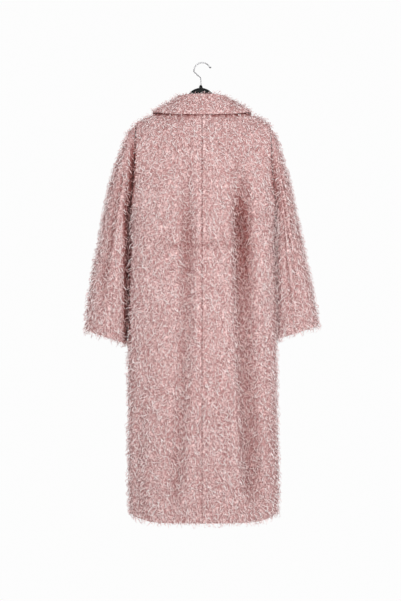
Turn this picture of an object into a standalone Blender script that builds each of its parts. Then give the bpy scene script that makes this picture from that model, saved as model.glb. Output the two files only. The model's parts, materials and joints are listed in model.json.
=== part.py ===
"""A long shaggy fur coat that hangs, buttoned, from a plain black hanger with a wire hook.

Metres, +Z up. The origin is the inner top of the hook, where it bears on a rail. The coat's
back faces -Y, its fronts face +Y, and +X is the wearer's right. Every cloth piece is a wall
between an outer and an inner face, which are lofted through the coat's own sections.
"""

import math
from collections import namedtuple

import bmesh
import bpy
import numpy as np

BACK, FRONT = -1, 1
LEFT, RIGHT = -1, 1

# Cloth: a knitted base with its dense pile.
WALL = 0.008
SEAM = 0.0003
LAYER = 0.0012

# Heights below the rail.
ARMPIT_Z = -0.428
HEM_Z = -1.300
HEM_SIDE_RISE = 0.021
HEM_CURVE = 7

# Neck.
NECK_HALF = 0.068
BACK_NECK_Z = -0.124
FRONT_NECK_Z = -0.190

# The fronts lap by this much on each side of the centre line.
LAP = 0.022
TUCK_START, TUCK_END = 0.052, 0.027
BUTTON_RADIUS = 0.014
BUTTON_THICKNESS = 0.0045
BUTTON_HEIGHTS = (-0.300, -0.450, -0.600, -0.750)
# Half of a button's section as shares of its radius and thickness, from its sunk middle over
# the rim to its under side.
RimPoint = namedtuple("RimPoint", "reach height")
BUTTON_PROFILE = (
    RimPoint(0.00, 0.72),
    RimPoint(0.70, 0.72),
    RimPoint(0.82, 1.00),
    RimPoint(0.94, 0.92),
    RimPoint(1.00, 0.50),
    RimPoint(0.86, 0.00),
    RimPoint(0.00, 0.00),
)

# Outer face of the shoulder seam: distance from the centre line, and height.
Station = namedtuple("Station", "x z")
SHOULDER = (
    Station(0.000, -0.100),
    Station(0.068, -0.108),
    Station(0.084, -0.1155),
    Station(0.100, -0.1245),
    Station(0.120, -0.1350),
    Station(0.141, -0.1448),
    Station(0.167, -0.1560),
    Station(0.184, -0.1652),
    Station(0.196, -0.1780),
    Station(0.225, -0.2140),
)
# How fast the cloth falls away from the shoulder seam, at the neck and at the arm.
NECK_FALL, ARM_FALL, FALL_SPAN = 0.045, 0.100, 0.150

# Level sections of the body. The widths above the armpit lie beyond the armhole, which cuts them.
Section = namedtuple("Section", "z left right back front")
SECTIONS = (
    Section(-0.180, 0.258, 0.268, 0.064, 0.062),
    Section(-0.300, 0.236, 0.246, 0.068, 0.068),
    Section(-0.428, 0.209, 0.2165, 0.071, 0.074),
    Section(-0.600, 0.2095, 0.2115, 0.073, 0.078),
    Section(-0.800, 0.2100, 0.2120, 0.075, 0.081),
    Section(-1.050, 0.2095, 0.2150, 0.078, 0.084),
    Section(-1.200, 0.2090, 0.2180, 0.080, 0.086),
    Section(-1.300, 0.2060, 0.2155, 0.081, 0.087),
)
OVAL = 2.3

# Armhole: a slanted plane on each side, from the shoulder point down to the armpit.
ARMHOLE_TOP = {LEFT: 0.190, RIGHT: 0.196}
ARMHOLE_CURVE = 3.0

# The largest folds of the hanging cloth. Widths run from the bottom of the trough to each side.
Fold = namedtuple("Fold", "face top_x middle_x foot_x top_z foot_z left right depth")
FOLDS = (
    Fold(BACK, -0.046, -0.046, -0.084, -0.220, -1.300, 0.034, 0.032, 0.015),
    Fold(BACK, 0.107, 0.113, 0.144, -0.210, -1.300, 0.032, 0.058, 0.025),
    Fold(BACK, -0.168, -0.176, -0.176, -0.900, -1.360, 0.024, 0.030, 0.007),
    Fold(FRONT, 0.096, 0.108, 0.132, -0.260, -1.340, 0.040, 0.040, 0.019),
    Fold(FRONT, -0.104, -0.112, -0.120, -0.300, -1.380, 0.044, 0.036, 0.016),
    Fold(FRONT, 0.050, 0.056, 0.060, -0.760, -1.420, 0.026, 0.030, 0.008),
)

# Sleeve sections, each spanned by an outer point, an inner point and its depth front to back.
# The first section after the armhole comes first, and the cuff last.
Ring = namedtuple(
    "Ring", "outer_z outer_left outer_right inner_z inner_left inner_right depth forward"
)
RINGS = (
    Ring(-0.194, 0.2105, 0.2035, -0.441, 0.2102, 0.2182, 0.043, 0.000),
    Ring(-0.217, 0.2205, 0.2135, -0.456, 0.2100, 0.2172, 0.049, 0.001),
    Ring(-0.252, 0.2320, 0.2240, -0.476, 0.2098, 0.2159, 0.055, 0.002),
    Ring(-0.302, 0.2505, 0.2388, -0.502, 0.2096, 0.2147, 0.0592, 0.004),
    Ring(-0.362, 0.2665, 0.2552, -0.533, 0.2094, 0.2134, 0.0612, 0.007),
    Ring(-0.432, 0.2805, 0.2696, -0.570, 0.2094, 0.2125, 0.0612, 0.010),
    Ring(-0.512, 0.2965, 0.2874, -0.616, 0.2100, 0.2123, 0.0584, 0.013),
    Ring(-0.602, 0.3140, 0.3055, -0.672, 0.2109, 0.2123, 0.0532, 0.016),
    Ring(-0.690, 0.3290, 0.3235, -0.740, 0.2116, 0.2130, 0.0478, 0.019),
    Ring(-0.757, 0.3350, 0.3366, -0.795, 0.2135, 0.2142, 0.0432, 0.021),
)
# How far each cuff hangs below its last ring, a drop that grows from nothing at the armhole.
CUFF_DROP = {LEFT: 0.005, RIGHT: -0.009}
SLEEVE_OVAL = 2.2
SLEEVE_STEPS = 28
TOP_SLEEVE_STEPS = 16
# Lengthwise creases of the sleeves: the place round the sleeve runs from 0 on its outer side,
# past 0.25 at its back, to 0.5 under the arm.
Crease = namedtuple("Crease", "side around width depth start end")
CREASES = (
    Crease(LEFT, 0.20, 0.055, 0.0050, 0.15, 0.95),
    Crease(LEFT, 0.80, 0.055, 0.0050, 0.20, 0.90),
    Crease(RIGHT, 0.17, 0.045, 0.0050, 0.10, 0.85),
    Crease(RIGHT, 0.28, 0.045, 0.0055, 0.20, 0.98),
    Crease(RIGHT, 0.78, 0.055, 0.0050, 0.20, 0.90),
)

# Collar: stations from the centre back, past the shoulder seam, to the front end. Each has
# its place on the neckline, its place on the fall's edge, and the height of its stand.
Turn = namedtuple("Turn", "face neck_x neck_z edge_x edge_z stand")
COLLAR = (
    Turn(BACK, 0.000, -0.1240, 0.000, -0.1532, 0.0333),
    Turn(BACK, 0.018, -0.1230, 0.040, -0.1524, 0.0325),
    Turn(BACK, 0.036, -0.1200, 0.078, -0.1507, 0.0295),
    Turn(BACK, 0.052, -0.1160, 0.108, -0.1472, 0.0240),
    Turn(BACK, 0.063, -0.1110, 0.1275, -0.1436, 0.0180),
    Turn(BACK, 0.067, -0.1090, 0.1350, -0.1436, 0.0160),
    Turn(FRONT, 0.068, -0.1080, 0.1380, -0.1434, 0.0150),
    Turn(FRONT, 0.0678, -0.1095, 0.1395, -0.1475, 0.0147),
    Turn(FRONT, 0.067, -0.1150, 0.141, -0.1620, 0.0145),
    Turn(FRONT, 0.062, -0.1310, 0.137, -0.1900, 0.0140),
    Turn(FRONT, 0.051, -0.1520, 0.126, -0.2200, 0.0135),
    Turn(FRONT, 0.033, -0.1730, 0.106, -0.2500, 0.0130),
    Turn(FRONT, 0.012, -0.1860, 0.080, -0.2720, 0.0125),
)
COLLAR_WALL = 0.008
COLLAR_EDGE_WALL = 0.0055
COLLAR_LIFT = 0.0018
FALL_STEPS = 4
STAND_STEPS = 2

# Hanger and hook.
STEM_X = -0.0035
ARCH_RADIUS = 0.043
ARCH_TOP_Z = -0.070
ARCH_SPAN = 164
ARCH_STEPS = 15
ARM_REACH = 0.174
ARM_HEIGHT = 0.026
ARM_TIP_HEIGHT = 0.013
ARM_NECK_DIP = 0.009
ARM_DIP_SPAN = 0.030
ARM_STATIONS = 8
CROTCH_HEIGHT = 0.022
ARM_THICKNESS = 0.012
ARM_ROUNDING = 0.005
WIRE = 0.0034
BORE = 0.0040
STEM_DEPTH = 0.014
HOOK_RADIUS = 0.0235
HOOK_CENTRE_X = 0.0005
HOOK_START, HOOK_END = 188, 24
HOOK_STEPS = 17
STEM_STEPS = 6
# The wire's bend between its stem and its round, and its lifted tip, as (x, z).
STEM_TOP_Z = -0.046
HOOK_BEND = ((-0.0050, -0.0415), (-0.0090, -0.0370), (-0.0145, -0.0325), (-0.0193, -0.0277))
HOOK_TIP = ((0.0243, -0.0120), (0.0256, -0.0133))
TIP_SWELLS = (1.15, 1.5, 1.1)
FERRULE_HEIGHT = 0.007
FERRULE_FOOT = 0.0055
FERRULE_TOP = 0.0032
FERRULE_RIM = 0.0015

FUR = (0.63, 0.43, 0.41)
BUTTON_PINK = (0.42, 0.24, 0.24)
BLACK = (0.012, 0.012, 0.013)
CHROME = (0.72, 0.72, 0.73)


# ---------------------------------------------------------------- rules of the cloth


def curve(places, values, at):
    """The value at one place of the smooth curve through the given places, which ascend."""
    at = min(max(at, places[0]), places[-1])
    slopes = np.gradient(values, places)
    i = min(max(int(np.searchsorted(places, at)) - 1, 0), len(places) - 2)
    span = places[i + 1] - places[i]
    t = (at - places[i]) / span
    start = (1 + 2 * t) * (1 - t) ** 2 * values[i] + t * (1 - t) ** 2 * span * slopes[i]
    end = t * t * (3 - 2 * t) * values[i + 1] - t * t * (1 - t) * span * slopes[i + 1]
    return float(start + end)


def ease(t):
    """0 up to t = 0, 1 from t = 1, and smooth between."""
    t = min(max(t, 0.0), 1.0)
    return t * t * (3 - 2 * t)


def mix(a, b, t):
    return a + (b - a) * t


NUDGE = 0.0006
SHOULDER_X = np.array([s.x for s in SHOULDER])
SHOULDER_Z = np.array([s.z for s in SHOULDER])
SECTION_HEIGHTS = np.array([s.z for s in reversed(SECTIONS)])
SECTION_VALUES = {
    name: np.array([getattr(s, name) for s in reversed(SECTIONS)])
    for name in ("left", "right", "back", "front")
}


def shoulder_z(x):
    return curve(SHOULDER_X, SHOULDER_Z, abs(x))


def shoulder_slope(x):
    near, far = max(abs(x) - NUDGE, 0), abs(x) + NUDGE
    return (shoulder_z(far) - shoulder_z(near)) / (far - near) * math.copysign(1, x)


def half_width(side, z):
    return curve(SECTION_HEIGHTS, SECTION_VALUES["left" if side == LEFT else "right"], z)


def armpit_x(side):
    return half_width(side, ARMPIT_Z)


def armhole_x(side, z):
    top = ARMHOLE_TOP[side]
    share = (z - shoulder_z(top)) / (ARMPIT_Z - shoulder_z(top))
    return mix(top, armpit_x(side), min(max(share, 0.0), 1.0) ** ARMHOLE_CURVE)


def fold_depth(face, x, z):
    """How far the folds press the cloth inwards at a place."""
    depth = 0.0
    for fold in FOLDS:
        if fold.face != face or not fold.foot_z < z < fold.top_z:
            continue
        down = (fold.top_z - z) / (fold.top_z - fold.foot_z)
        line = (
            fold.top_x * (1 - down) * (1 - 2 * down)
            + fold.middle_x * 4 * down * (1 - down)
            + fold.foot_x * down * (2 * down - 1)
        )
        width = fold.left if x < line else fold.right
        across = abs(x - line) / width
        if across < 1:
            strength = ease(down / 0.28) * ease((1 - down) / 0.12)
            depth += fold.depth * strength * math.cos(across * math.pi / 2) ** 2
    return depth


def fullness(face, x, z):
    """The cloth's distance from the coat's middle plane, measured to its outer face."""
    drop = max(shoulder_z(x) - z, 0.0)
    fall = mix(NECK_FALL, ARM_FALL, ease(abs(x) / FALL_SPAN))
    side = LEFT if x < 0 else RIGHT
    across = min(abs(x) / half_width(side, z), 1.0)
    section = curve(SECTION_HEIGHTS, SECTION_VALUES["back" if face == BACK else "front"], z)
    full = section * math.sqrt(1 - math.exp(-drop / fall)) * (1 - across**OVAL) ** (1 / OVAL)
    return full - min(fold_depth(face, x, z), 0.6 * full)


def body_point(face, x, z):
    return np.array([x, face * fullness(face, x, z), z])


def body_normal(face, x, z):
    """The outward direction of the body's outer face."""
    side = LEFT if x < 0 else RIGHT
    if z < ARMPIT_Z + 1e-6 and abs(x) > half_width(side, z) - 1e-5:
        return np.array([float(side), 0.0, 0.0])
    if shoulder_z(x) - z < 1e-4:
        ridge = np.array([-shoulder_slope(x), 0.0, 1.0])
        return ridge / np.linalg.norm(ridge)
    slope_x = (fullness(face, x + NUDGE, z) - fullness(face, x - NUDGE, z)) / (2 * NUDGE)
    slope_z = (fullness(face, x, z + NUDGE) - fullness(face, x, z - NUDGE)) / (2 * NUDGE)
    normal = np.array([-slope_x, float(face), -slope_z])
    return normal / np.linalg.norm(normal)


# ---------------------------------------------------------------- making objects


for old in list(bpy.data.objects):
    bpy.data.objects.remove(old)

coat_parts = bpy.data.collections.new("fur_coat_on_hanger")
cutters = bpy.data.collections.new("cutters")
bpy.context.scene.collection.children.link(coat_parts)
bpy.context.scene.collection.children.link(cutters)


def material(name, colour, roughness, metallic=0.0):
    made = bpy.data.materials.new(name)
    made.use_nodes = True
    shader = made.node_tree.nodes["Principled BSDF"]
    shader.inputs["Base Color"].default_value = (*colour, 1)
    shader.inputs["Roughness"].default_value = roughness
    shader.inputs["Metallic"].default_value = metallic
    return made


def add(name, data, colour, roughness, metallic=0.0):
    """A new object of the coat, with a material of its own."""
    made = bpy.data.objects.new(name, data)
    data.materials.append(material(name, colour, roughness, metallic))
    coat_parts.objects.link(made)
    return made


def wall(name, outer, inner):
    """A cloth piece from its outer and inner faces, two grids of points of the same size."""
    rows, columns = outer.shape[:2]
    mesh = bmesh.new()
    grids = []
    for face in (outer, inner):
        grids.append([[mesh.verts.new(point) for point in row] for row in face])
    top, under = grids
    for i in range(rows - 1):
        for j in range(columns - 1):
            for grid in grids:
                mesh.faces.new((grid[i][j], grid[i][j + 1], grid[i + 1][j + 1], grid[i + 1][j]))
    for i in range(rows - 1):
        for j in (0, columns - 1):
            mesh.faces.new((top[i][j], top[i + 1][j], under[i + 1][j], under[i][j]))
    for j in range(columns - 1):
        for i in (0, rows - 1):
            mesh.faces.new((top[i][j], top[i][j + 1], under[i][j + 1], under[i][j]))
    bmesh.ops.recalc_face_normals(mesh, faces=mesh.faces[:])
    data = bpy.data.meshes.new(name)
    mesh.to_mesh(data)
    mesh.free()
    data.shade_smooth()
    made = add(name, data, FUR, 0.9)
    data.set_sharp_from_angle(angle=math.radians(50))
    return made


def mesh_of_curve(name, data, rotation=(0, 0, 0)):
    """A closed mesh in world space of a curve, whose caps are welded on."""
    guide = bpy.data.objects.new(name + "_guide", data)
    guide.rotation_euler = rotation
    coat_parts.objects.link(guide)
    bpy.context.view_layer.update()
    graph = bpy.context.evaluated_depsgraph_get()
    solid = bpy.data.meshes.new_from_object(guide.evaluated_get(graph))
    solid.transform(guide.matrix_world)
    bpy.data.objects.remove(guide)
    mesh = bmesh.new()
    mesh.from_mesh(solid)
    bmesh.ops.remove_doubles(mesh, verts=mesh.verts[:], dist=1e-6)
    bmesh.ops.recalc_face_normals(mesh, faces=mesh.faces[:])
    mesh.to_mesh(solid)
    mesh.free()
    solid.materials.clear()
    solid.shade_smooth()
    return solid


def turned(name, profile, steps, colour, roughness, metallic=0.0):
    """A solid of revolution round Z, from (radius, height) points down its outer side."""
    data = bpy.data.meshes.new(name)
    count = len(profile)
    closed = profile[0][0] > 0
    edges = [(i, i + 1) for i in range(count - 1)] + ([(count - 1, 0)] if closed else [])
    data.from_pydata([(r, 0, z) for r, z in profile], edges, [])
    made = add(name, data, colour, roughness, metallic)
    screw = made.modifiers.new("turn", "SCREW")
    screw.steps = steps
    screw.render_steps = steps
    screw.use_merge_vertices = True
    screw.merge_threshold = 0.00001
    screw.use_smooth_shade = True
    return made


# ---------------------------------------------------------------- the body's four panels


def neckline_z(face, x):
    low = BACK_NECK_Z if face == BACK else FRONT_NECK_Z
    share = min(abs(x) / NECK_HALF, 1.0)
    round_share = share**2 if face == BACK else 1 - math.sqrt(1 - share**2.2)
    return mix(low, shoulder_z(NECK_HALF), round_share)


def column_shares(start, neck_columns, columns, side):
    """Places across a panel, from 0 at its centre edge to 1 at its side, with one at the neck."""
    reach = ARMHOLE_TOP[side] - start
    neck = (NECK_HALF - start) / reach
    shares = [neck * k / neck_columns for k in range(neck_columns + 1)]
    rest = columns - neck_columns
    return shares + [1 - (1 - neck) * (1 - k / rest) ** 1.35 for k in range(1, rest + 1)]


def lap_shift(side, x):
    """How far the left front, which lies underneath, is tucked in at the centre line."""
    if side == RIGHT:
        return 0.0
    return (WALL + LAYER) * ease((TUCK_START + x) / (TUCK_START - TUCK_END))


def panel(name, face, side, start, neck_columns=5, columns=17, upper=14, lower=8):
    """A quarter of the body, from its centre edge, at start, round to the side seam."""
    outer, inner = [], []
    shares = column_shares(start, neck_columns, columns, side)
    shoulder_point = shoulder_z(ARMHOLE_TOP[side])
    levels = [(True, (k / upper) ** 1.6) for k in range(upper + 1)]
    levels += [(False, (k / lower) ** 0.95) for k in range(1, lower + 1)]
    for above, down in levels:
        out_row, in_row = [], []
        for j, share in enumerate(shares):
            top_x = start + (ARMHOLE_TOP[side] - start) * share
            if above:
                edge = armhole_x(side, mix(shoulder_point, ARMPIT_Z, down))
                on_neck = j < neck_columns
                top_z = neckline_z(face, top_x) if on_neck else shoulder_z(top_x)
                z = mix(top_z, ARMPIT_Z, down)
            else:
                hem = HEM_Z + HEM_SIDE_RISE * share**HEM_CURVE
                z = mix(ARMPIT_Z, hem, down)
                edge = half_width(side, z)
            x = (start + (edge - start) * share) * side
            at_side = j == len(shares) - 1
            on_shoulder_seam = above and down == 0 and j >= neck_columns
            if at_side and above and down < 1:
                x -= side * SEAM / 2
            if on_shoulder_seam:
                z = shoulder_z(x)
            point = body_point(face, x, z)
            normal = body_normal(face, x, z)
            if face == FRONT and side == LEFT:
                point = point - normal * lap_shift(side, x)
            if at_side and above:
                normal[0] = side * max(side * normal[0], 0.0)
            on_side_seam = at_side and not (above and down < 1)
            if on_shoulder_seam or on_side_seam:
                point[1] = face * SEAM / 2
            out_row.append(point)
            in_row.append(point - WALL * normal)
        outer.append(out_row)
        inner.append(in_row)
    wall(name, np.array(outer), np.array(inner))


def build_body():
    panel("back_left", BACK, LEFT, SEAM / 2)
    panel("back_right", BACK, RIGHT, SEAM / 2)
    panel("front_left", FRONT, LEFT, -LAP)
    panel("front_right", FRONT, RIGHT, -LAP)


# ---------------------------------------------------------------- the sleeves


def armhole_ring(side):
    """The body's edge at the armhole, on the sleeve's side of the seam."""
    top = ARMHOLE_TOP[side]
    ring = []
    for k in range(SLEEVE_STEPS):
        turn = 2 * math.pi * k / SLEEVE_STEPS
        face = BACK if turn < math.pi else FRONT
        z = mix(shoulder_z(top), ARMPIT_Z, (1 - math.cos(turn)) / 2)
        x = side * armhole_x(side, z)
        y = face * fullness(face, x, z) if k % (SLEEVE_STEPS // 2) else 0.0
        ring.append((x + side * SEAM / 2, y, z))
    return ring


def sleeve_ring(side, row):
    drop = CUFF_DROP[side] * ((row.inner_z - ARMPIT_Z) / (RINGS[-1].inner_z - ARMPIT_Z)) ** 2
    outer_x, inner_x = (
        (row.outer_left, row.inner_left) if side == LEFT else (row.outer_right, row.inner_right)
    )
    outer = np.array([side * outer_x, 0, row.outer_z - drop])
    inner = np.array([side * inner_x, 0, row.inner_z - drop])
    ring = []
    for k in range(SLEEVE_STEPS):
        turn = 2 * math.pi * k / SLEEVE_STEPS
        face = BACK if turn < math.pi else FRONT
        point = mix(outer, inner, (1 - math.cos(turn)) / 2)
        point[1] = row.forward + face * row.depth * abs(math.sin(turn)) ** (2 / SLEEVE_OVAL)
        ring.append(point)
    return ring


def sleeve_faces(side):
    """The sleeve's outer and inner points, a ring for each row from armhole to cuff."""
    outer = np.array([armhole_ring(side)] + [sleeve_ring(side, row) for row in RINGS])
    round_it = np.roll(outer, -1, axis=1) - np.roll(outer, 1, axis=1)
    down_it = np.gradient(outer, axis=0)
    normal = np.cross(down_it, round_it)
    normal /= np.linalg.norm(normal, axis=2, keepdims=True)
    middle = outer.mean(axis=1, keepdims=True)
    if np.sum(normal * (outer - middle)) < 0:
        normal = -normal
    for crease in CREASES:
        if crease.side != side:
            continue
        for i in range(1, len(outer)):
            along = i / (len(outer) - 1)
            fade = ease((along - crease.start) / 0.2) * ease((crease.end - along) / 0.2)
            for k in range(SLEEVE_STEPS):
                off = abs(k / SLEEVE_STEPS - crease.around) / crease.width
                if off < 1:
                    press = crease.depth * fade * math.cos(off * math.pi / 2) ** 2
                    outer[i, k] -= normal[i, k] * press
    along_armhole = outer[0, SLEEVE_STEPS // 2] - outer[0, 0]
    across = np.cross(along_armhole, (0, 1, 0))
    across /= np.linalg.norm(across)
    normal[0] -= (normal[0] @ across)[:, None] * across
    normal[0] /= np.linalg.norm(normal[0], axis=1, keepdims=True)
    return outer, outer - WALL * normal


def sleeve_piece(name, outer, inner, first, steps):
    """The part of the sleeve from one column on, its two edges drawn in from the seams."""
    columns = [(first + k) % SLEEVE_STEPS for k in range(steps + 1)]
    faces = [outer[:, columns].copy(), inner[:, columns].copy()]
    for edge, neighbour in ((0, 1), (-1, -2)):
        towards = faces[0][:, neighbour] - faces[0][:, edge]
        towards *= SEAM / 2 / np.linalg.norm(towards, axis=1, keepdims=True)
        for face in faces:
            face[:, edge] += towards
    wall(name, *faces)


def build_sleeves():
    for side, word in ((LEFT, "left"), (RIGHT, "right")):
        outer, inner = sleeve_faces(side)
        half = TOP_SLEEVE_STEPS // 2
        sleeve_piece(f"sleeve_{word}_top", outer, inner, -half, TOP_SLEEVE_STEPS)
        sleeve_piece(f"sleeve_{word}_under", outer, inner, half, SLEEVE_STEPS - TOP_SLEEVE_STEPS)


# ---------------------------------------------------------------- the collar


def on_body(face, side, x, drop):
    """A point on the body's outer face, x from the centre and a drop below the shoulder seam."""
    drop = max(drop, 0.0)
    x = side * max(x, 0.0)
    z = shoulder_z(x) - drop
    if drop < 5e-4:
        return np.array([x, 0.0, z]), body_normal(face, x, z)
    return body_point(face, x, z), body_normal(face, x, z)


def collar_profile(turn, side):
    """Points of the collar's upper and under faces, from the neck over the roll to the edge."""
    neck_drop = shoulder_z(turn.neck_x) - turn.neck_z
    edge_drop = shoulder_z(turn.edge_x) - turn.edge_z
    neck, _ = on_body(turn.face, side, turn.neck_x, neck_drop)
    away = neck * (0.55, 1, 0) - (0, 0.004, 0)
    away /= np.linalg.norm(away)
    up = np.array([0, 0, 1.0]) - 0.12 * away
    top = turn.stand - COLLAR_WALL
    upper, under = [], []
    for k in range(STAND_STEPS + 1):
        foot = neck + up * (SEAM + LAYER + (top - SEAM - LAYER) * k / STAND_STEPS)
        under.append(foot)
        upper.append(foot - away * COLLAR_WALL)
    crest = neck + up * top
    under.append(crest + away * LAYER / 2)
    upper.append(crest + away * LAYER / 2 + up * COLLAR_WALL)
    under.append(crest + away * LAYER)
    upper.append(crest + away * (LAYER + COLLAR_WALL * 0.75) + up * COLLAR_WALL * 0.6)
    for k in range(FALL_STEPS + 1):
        share = k / FALL_STEPS
        x = mix(turn.neck_x, turn.edge_x, share)
        drop = mix(neck_drop, edge_drop, share)
        point, normal = on_body(turn.face, side, x, drop)
        if k == 0:
            lift = min(top * 0.5, 0.006)
            normal = away * 0.9 + up * 0.3
            normal /= np.linalg.norm(normal)
            point = point + up * lift
        under.append(point + normal * COLLAR_LIFT)
        upper.append(point + normal * (COLLAR_LIFT + mix(COLLAR_WALL, COLLAR_EDGE_WALL, share**3)))
    return upper, under


def build_collar():
    stations = [(turn, LEFT) for turn in reversed(COLLAR[1:])] + [(turn, RIGHT) for turn in COLLAR]
    profiles = [collar_profile(turn, side) for turn, side in stations]
    wall("collar", np.array([p[0] for p in profiles]), np.array([p[1] for p in profiles]))


# ---------------------------------------------------------------- buttons


def build_buttons():
    profile = [(BUTTON_RADIUS * p.reach, BUTTON_THICKNESS * p.height) for p in BUTTON_PROFILE]
    for number, z in enumerate(BUTTON_HEIGHTS, start=1):
        made = turned(f"button_{number}", profile, 20, BUTTON_PINK, 0.35)
        normal = body_normal(FRONT, 0.0, z)
        made.location = body_point(FRONT, 0.0, z) + normal * (SEAM + LAYER / 2)
        made.rotation_euler = (-math.atan2(normal[1], normal[2]), 0, 0)


# ---------------------------------------------------------------- the hanger and its hook


def arm_top_z(x):
    """Top edge of the hanger's arm, just under the coat's shoulder wall and lower at the neck."""
    slope = shoulder_slope(abs(x))
    dip = ARM_NECK_DIP * (1 - ease((x - NECK_HALF + ARM_DIP_SPAN / 5) / ARM_DIP_SPAN))
    return shoulder_z(x) - WALL * math.sqrt(1 + slope * slope) - 4 * SEAM - dip


def hanger_outline():
    """The flat outline of the hanger as (x, z), round its arch and along both arms."""
    centre_z = ARCH_TOP_Z - ARCH_RADIUS
    reaches = np.linspace(NECK_HALF, ARM_REACH, ARM_STATIONS)
    right_top = [(x, arm_top_z(x)) for x in reaches]
    tip = [(ARM_REACH + ARM_ROUNDING, arm_top_z(ARM_REACH) - ARM_TIP_HEIGHT / 2)]
    right_under = []
    for x in reversed(reaches):
        height = mix(ARM_HEIGHT, ARM_TIP_HEIGHT, (x - NECK_HALF) / (ARM_REACH - NECK_HALF))
        right_under.append((x, arm_top_z(x) - height))
    rim = [
        (STEM_X + ARCH_RADIUS * math.sin(angle), centre_z + ARCH_RADIUS * math.cos(angle))
        for angle in np.radians(np.linspace(-ARCH_SPAN / 2, ARCH_SPAN / 2, ARCH_STEPS))
    ]
    mirrored_top = [(-x, z) for x, z in reversed(right_top)]
    mirrored_tip = [(-x, z) for x, z in tip]
    mirrored_under = [(-x, z) for x, z in reversed(right_under)]
    middle_under = [(0.0, arm_top_z(NECK_HALF) - CROTCH_HEIGHT)]
    return (
        mirrored_tip
        + mirrored_top
        + rim
        + right_top
        + tip
        + right_under
        + middle_under
        + mirrored_under
    )


def poly_curve(name, points, closed=False, flat=False):
    data = bpy.data.curves.new(name, "CURVE")
    data.dimensions = "2D" if flat else "3D"
    spline = data.splines.new("POLY")
    spline.points.add(len(points) - 1)
    for held, point in zip(spline.points, points):
        held.co = (*point, 1)
    spline.use_cyclic_u = closed
    return data


def build_hanger():
    outline = poly_curve("hanger", [(x, z, 0) for x, z in hanger_outline()], closed=True, flat=True)
    outline.fill_mode = "BOTH"
    outline.extrude = ARM_THICKNESS / 2 - ARM_ROUNDING
    outline.bevel_depth = ARM_ROUNDING
    outline.bevel_resolution = 1
    outline.offset = -ARM_ROUNDING
    solid = mesh_of_curve("hanger", outline, rotation=(math.pi / 2, 0, 0))
    made = add("hanger", solid, BLACK, 0.4)
    bpy.ops.mesh.primitive_cylinder_add(
        vertices=16,
        radius=BORE / 2,
        depth=2 * STEM_DEPTH,
        location=(STEM_X, 0, ARCH_TOP_Z + SEAM),
    )
    drill = bpy.context.object
    drill.name = "stem_bore"
    drill.hide_render = True
    drill.display_type = "WIRE"
    for held in list(drill.users_collection):
        held.objects.unlink(drill)
    cutters.objects.link(drill)
    cut = made.modifiers.new("bore", "BOOLEAN")
    cut.operation = "DIFFERENCE"
    cut.solver = "EXACT"
    cut.object = drill


def build_ferrule():
    foot = ARCH_TOP_Z + SEAM
    top = foot + FERRULE_HEIGHT
    bore = BORE / 2
    profile = [
        (bore, top),
        (FERRULE_TOP, top),
        (FERRULE_FOOT, foot + FERRULE_RIM),
        (FERRULE_FOOT, foot),
        (bore, foot),
    ]
    made = turned("hook_ferrule", profile, 20, BLACK, 0.4)
    made.location = (STEM_X, 0, 0)


def build_hook():
    """The wire, from its end in the hanger up the stem, round the bend and over to its tip."""
    centre = np.array([HOOK_CENTRE_X, WIRE / 2 - HOOK_RADIUS])
    foot = ARCH_TOP_Z - STEM_DEPTH + BORE / 2
    stem = [(STEM_X, z) for z in np.linspace(foot, STEM_TOP_Z, STEM_STEPS)]
    arc = []
    for angle in np.radians(np.linspace(HOOK_START, HOOK_END, HOOK_STEPS)):
        arc.append(tuple(centre + HOOK_RADIUS * np.array([math.cos(angle), math.sin(angle)])))
    route = [*stem, *HOOK_BEND, *arc, *HOOK_TIP]
    data = poly_curve("hook", [(x, 0, z) for x, z in route])
    data.bevel_depth = WIRE / 2
    data.bevel_resolution = 2
    data.use_fill_caps = True
    data.twist_mode = "MINIMUM"
    spline = data.splines[0]
    for held, swell in zip(list(spline.points)[-len(TIP_SWELLS) :], TIP_SWELLS):
        held.radius = swell
    add("hook", mesh_of_curve("hook", data), CHROME, 0.15, 1.0)


build_body()
build_sleeves()
build_collar()
build_buttons()
build_hanger()
build_ferrule()
build_hook()
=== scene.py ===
"""Looks for a long shaggy fur coat that hangs, buttoned, from a plain black hanger.

Metres, +Z up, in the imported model's own frame: the origin is the inner top of the hook, the
coat's back faces -Y, its fronts face +Y, and +X is the wearer's right. Each cloth piece is a
thin shell inside its solid's outer face. Its fur is a piece of its own, grown from that shell.
"""

import json
import math
from collections import namedtuple

import bmesh
import bpy
import numpy as np
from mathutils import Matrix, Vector, kdtree, noise

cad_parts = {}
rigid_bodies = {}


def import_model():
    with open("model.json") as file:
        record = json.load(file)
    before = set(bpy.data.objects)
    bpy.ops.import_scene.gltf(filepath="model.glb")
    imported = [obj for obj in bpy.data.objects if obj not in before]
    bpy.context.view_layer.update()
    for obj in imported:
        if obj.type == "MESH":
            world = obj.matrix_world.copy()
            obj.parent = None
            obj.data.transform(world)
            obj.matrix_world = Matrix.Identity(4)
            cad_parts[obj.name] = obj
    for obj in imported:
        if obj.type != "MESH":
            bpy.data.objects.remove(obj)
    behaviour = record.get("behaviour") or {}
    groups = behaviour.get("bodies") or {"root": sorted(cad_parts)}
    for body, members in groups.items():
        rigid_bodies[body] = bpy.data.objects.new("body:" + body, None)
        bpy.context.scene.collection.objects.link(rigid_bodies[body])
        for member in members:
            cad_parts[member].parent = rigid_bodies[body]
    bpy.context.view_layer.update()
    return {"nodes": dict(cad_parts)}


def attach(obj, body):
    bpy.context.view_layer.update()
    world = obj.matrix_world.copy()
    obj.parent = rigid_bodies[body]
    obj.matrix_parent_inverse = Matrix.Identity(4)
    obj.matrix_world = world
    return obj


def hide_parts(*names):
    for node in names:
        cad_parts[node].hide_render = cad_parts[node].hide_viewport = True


for old in list(bpy.data.objects):
    bpy.data.objects.remove(old)

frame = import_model()

BACK, FRONT = -1, 1
LEFT, RIGHT = -1, 1


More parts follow.
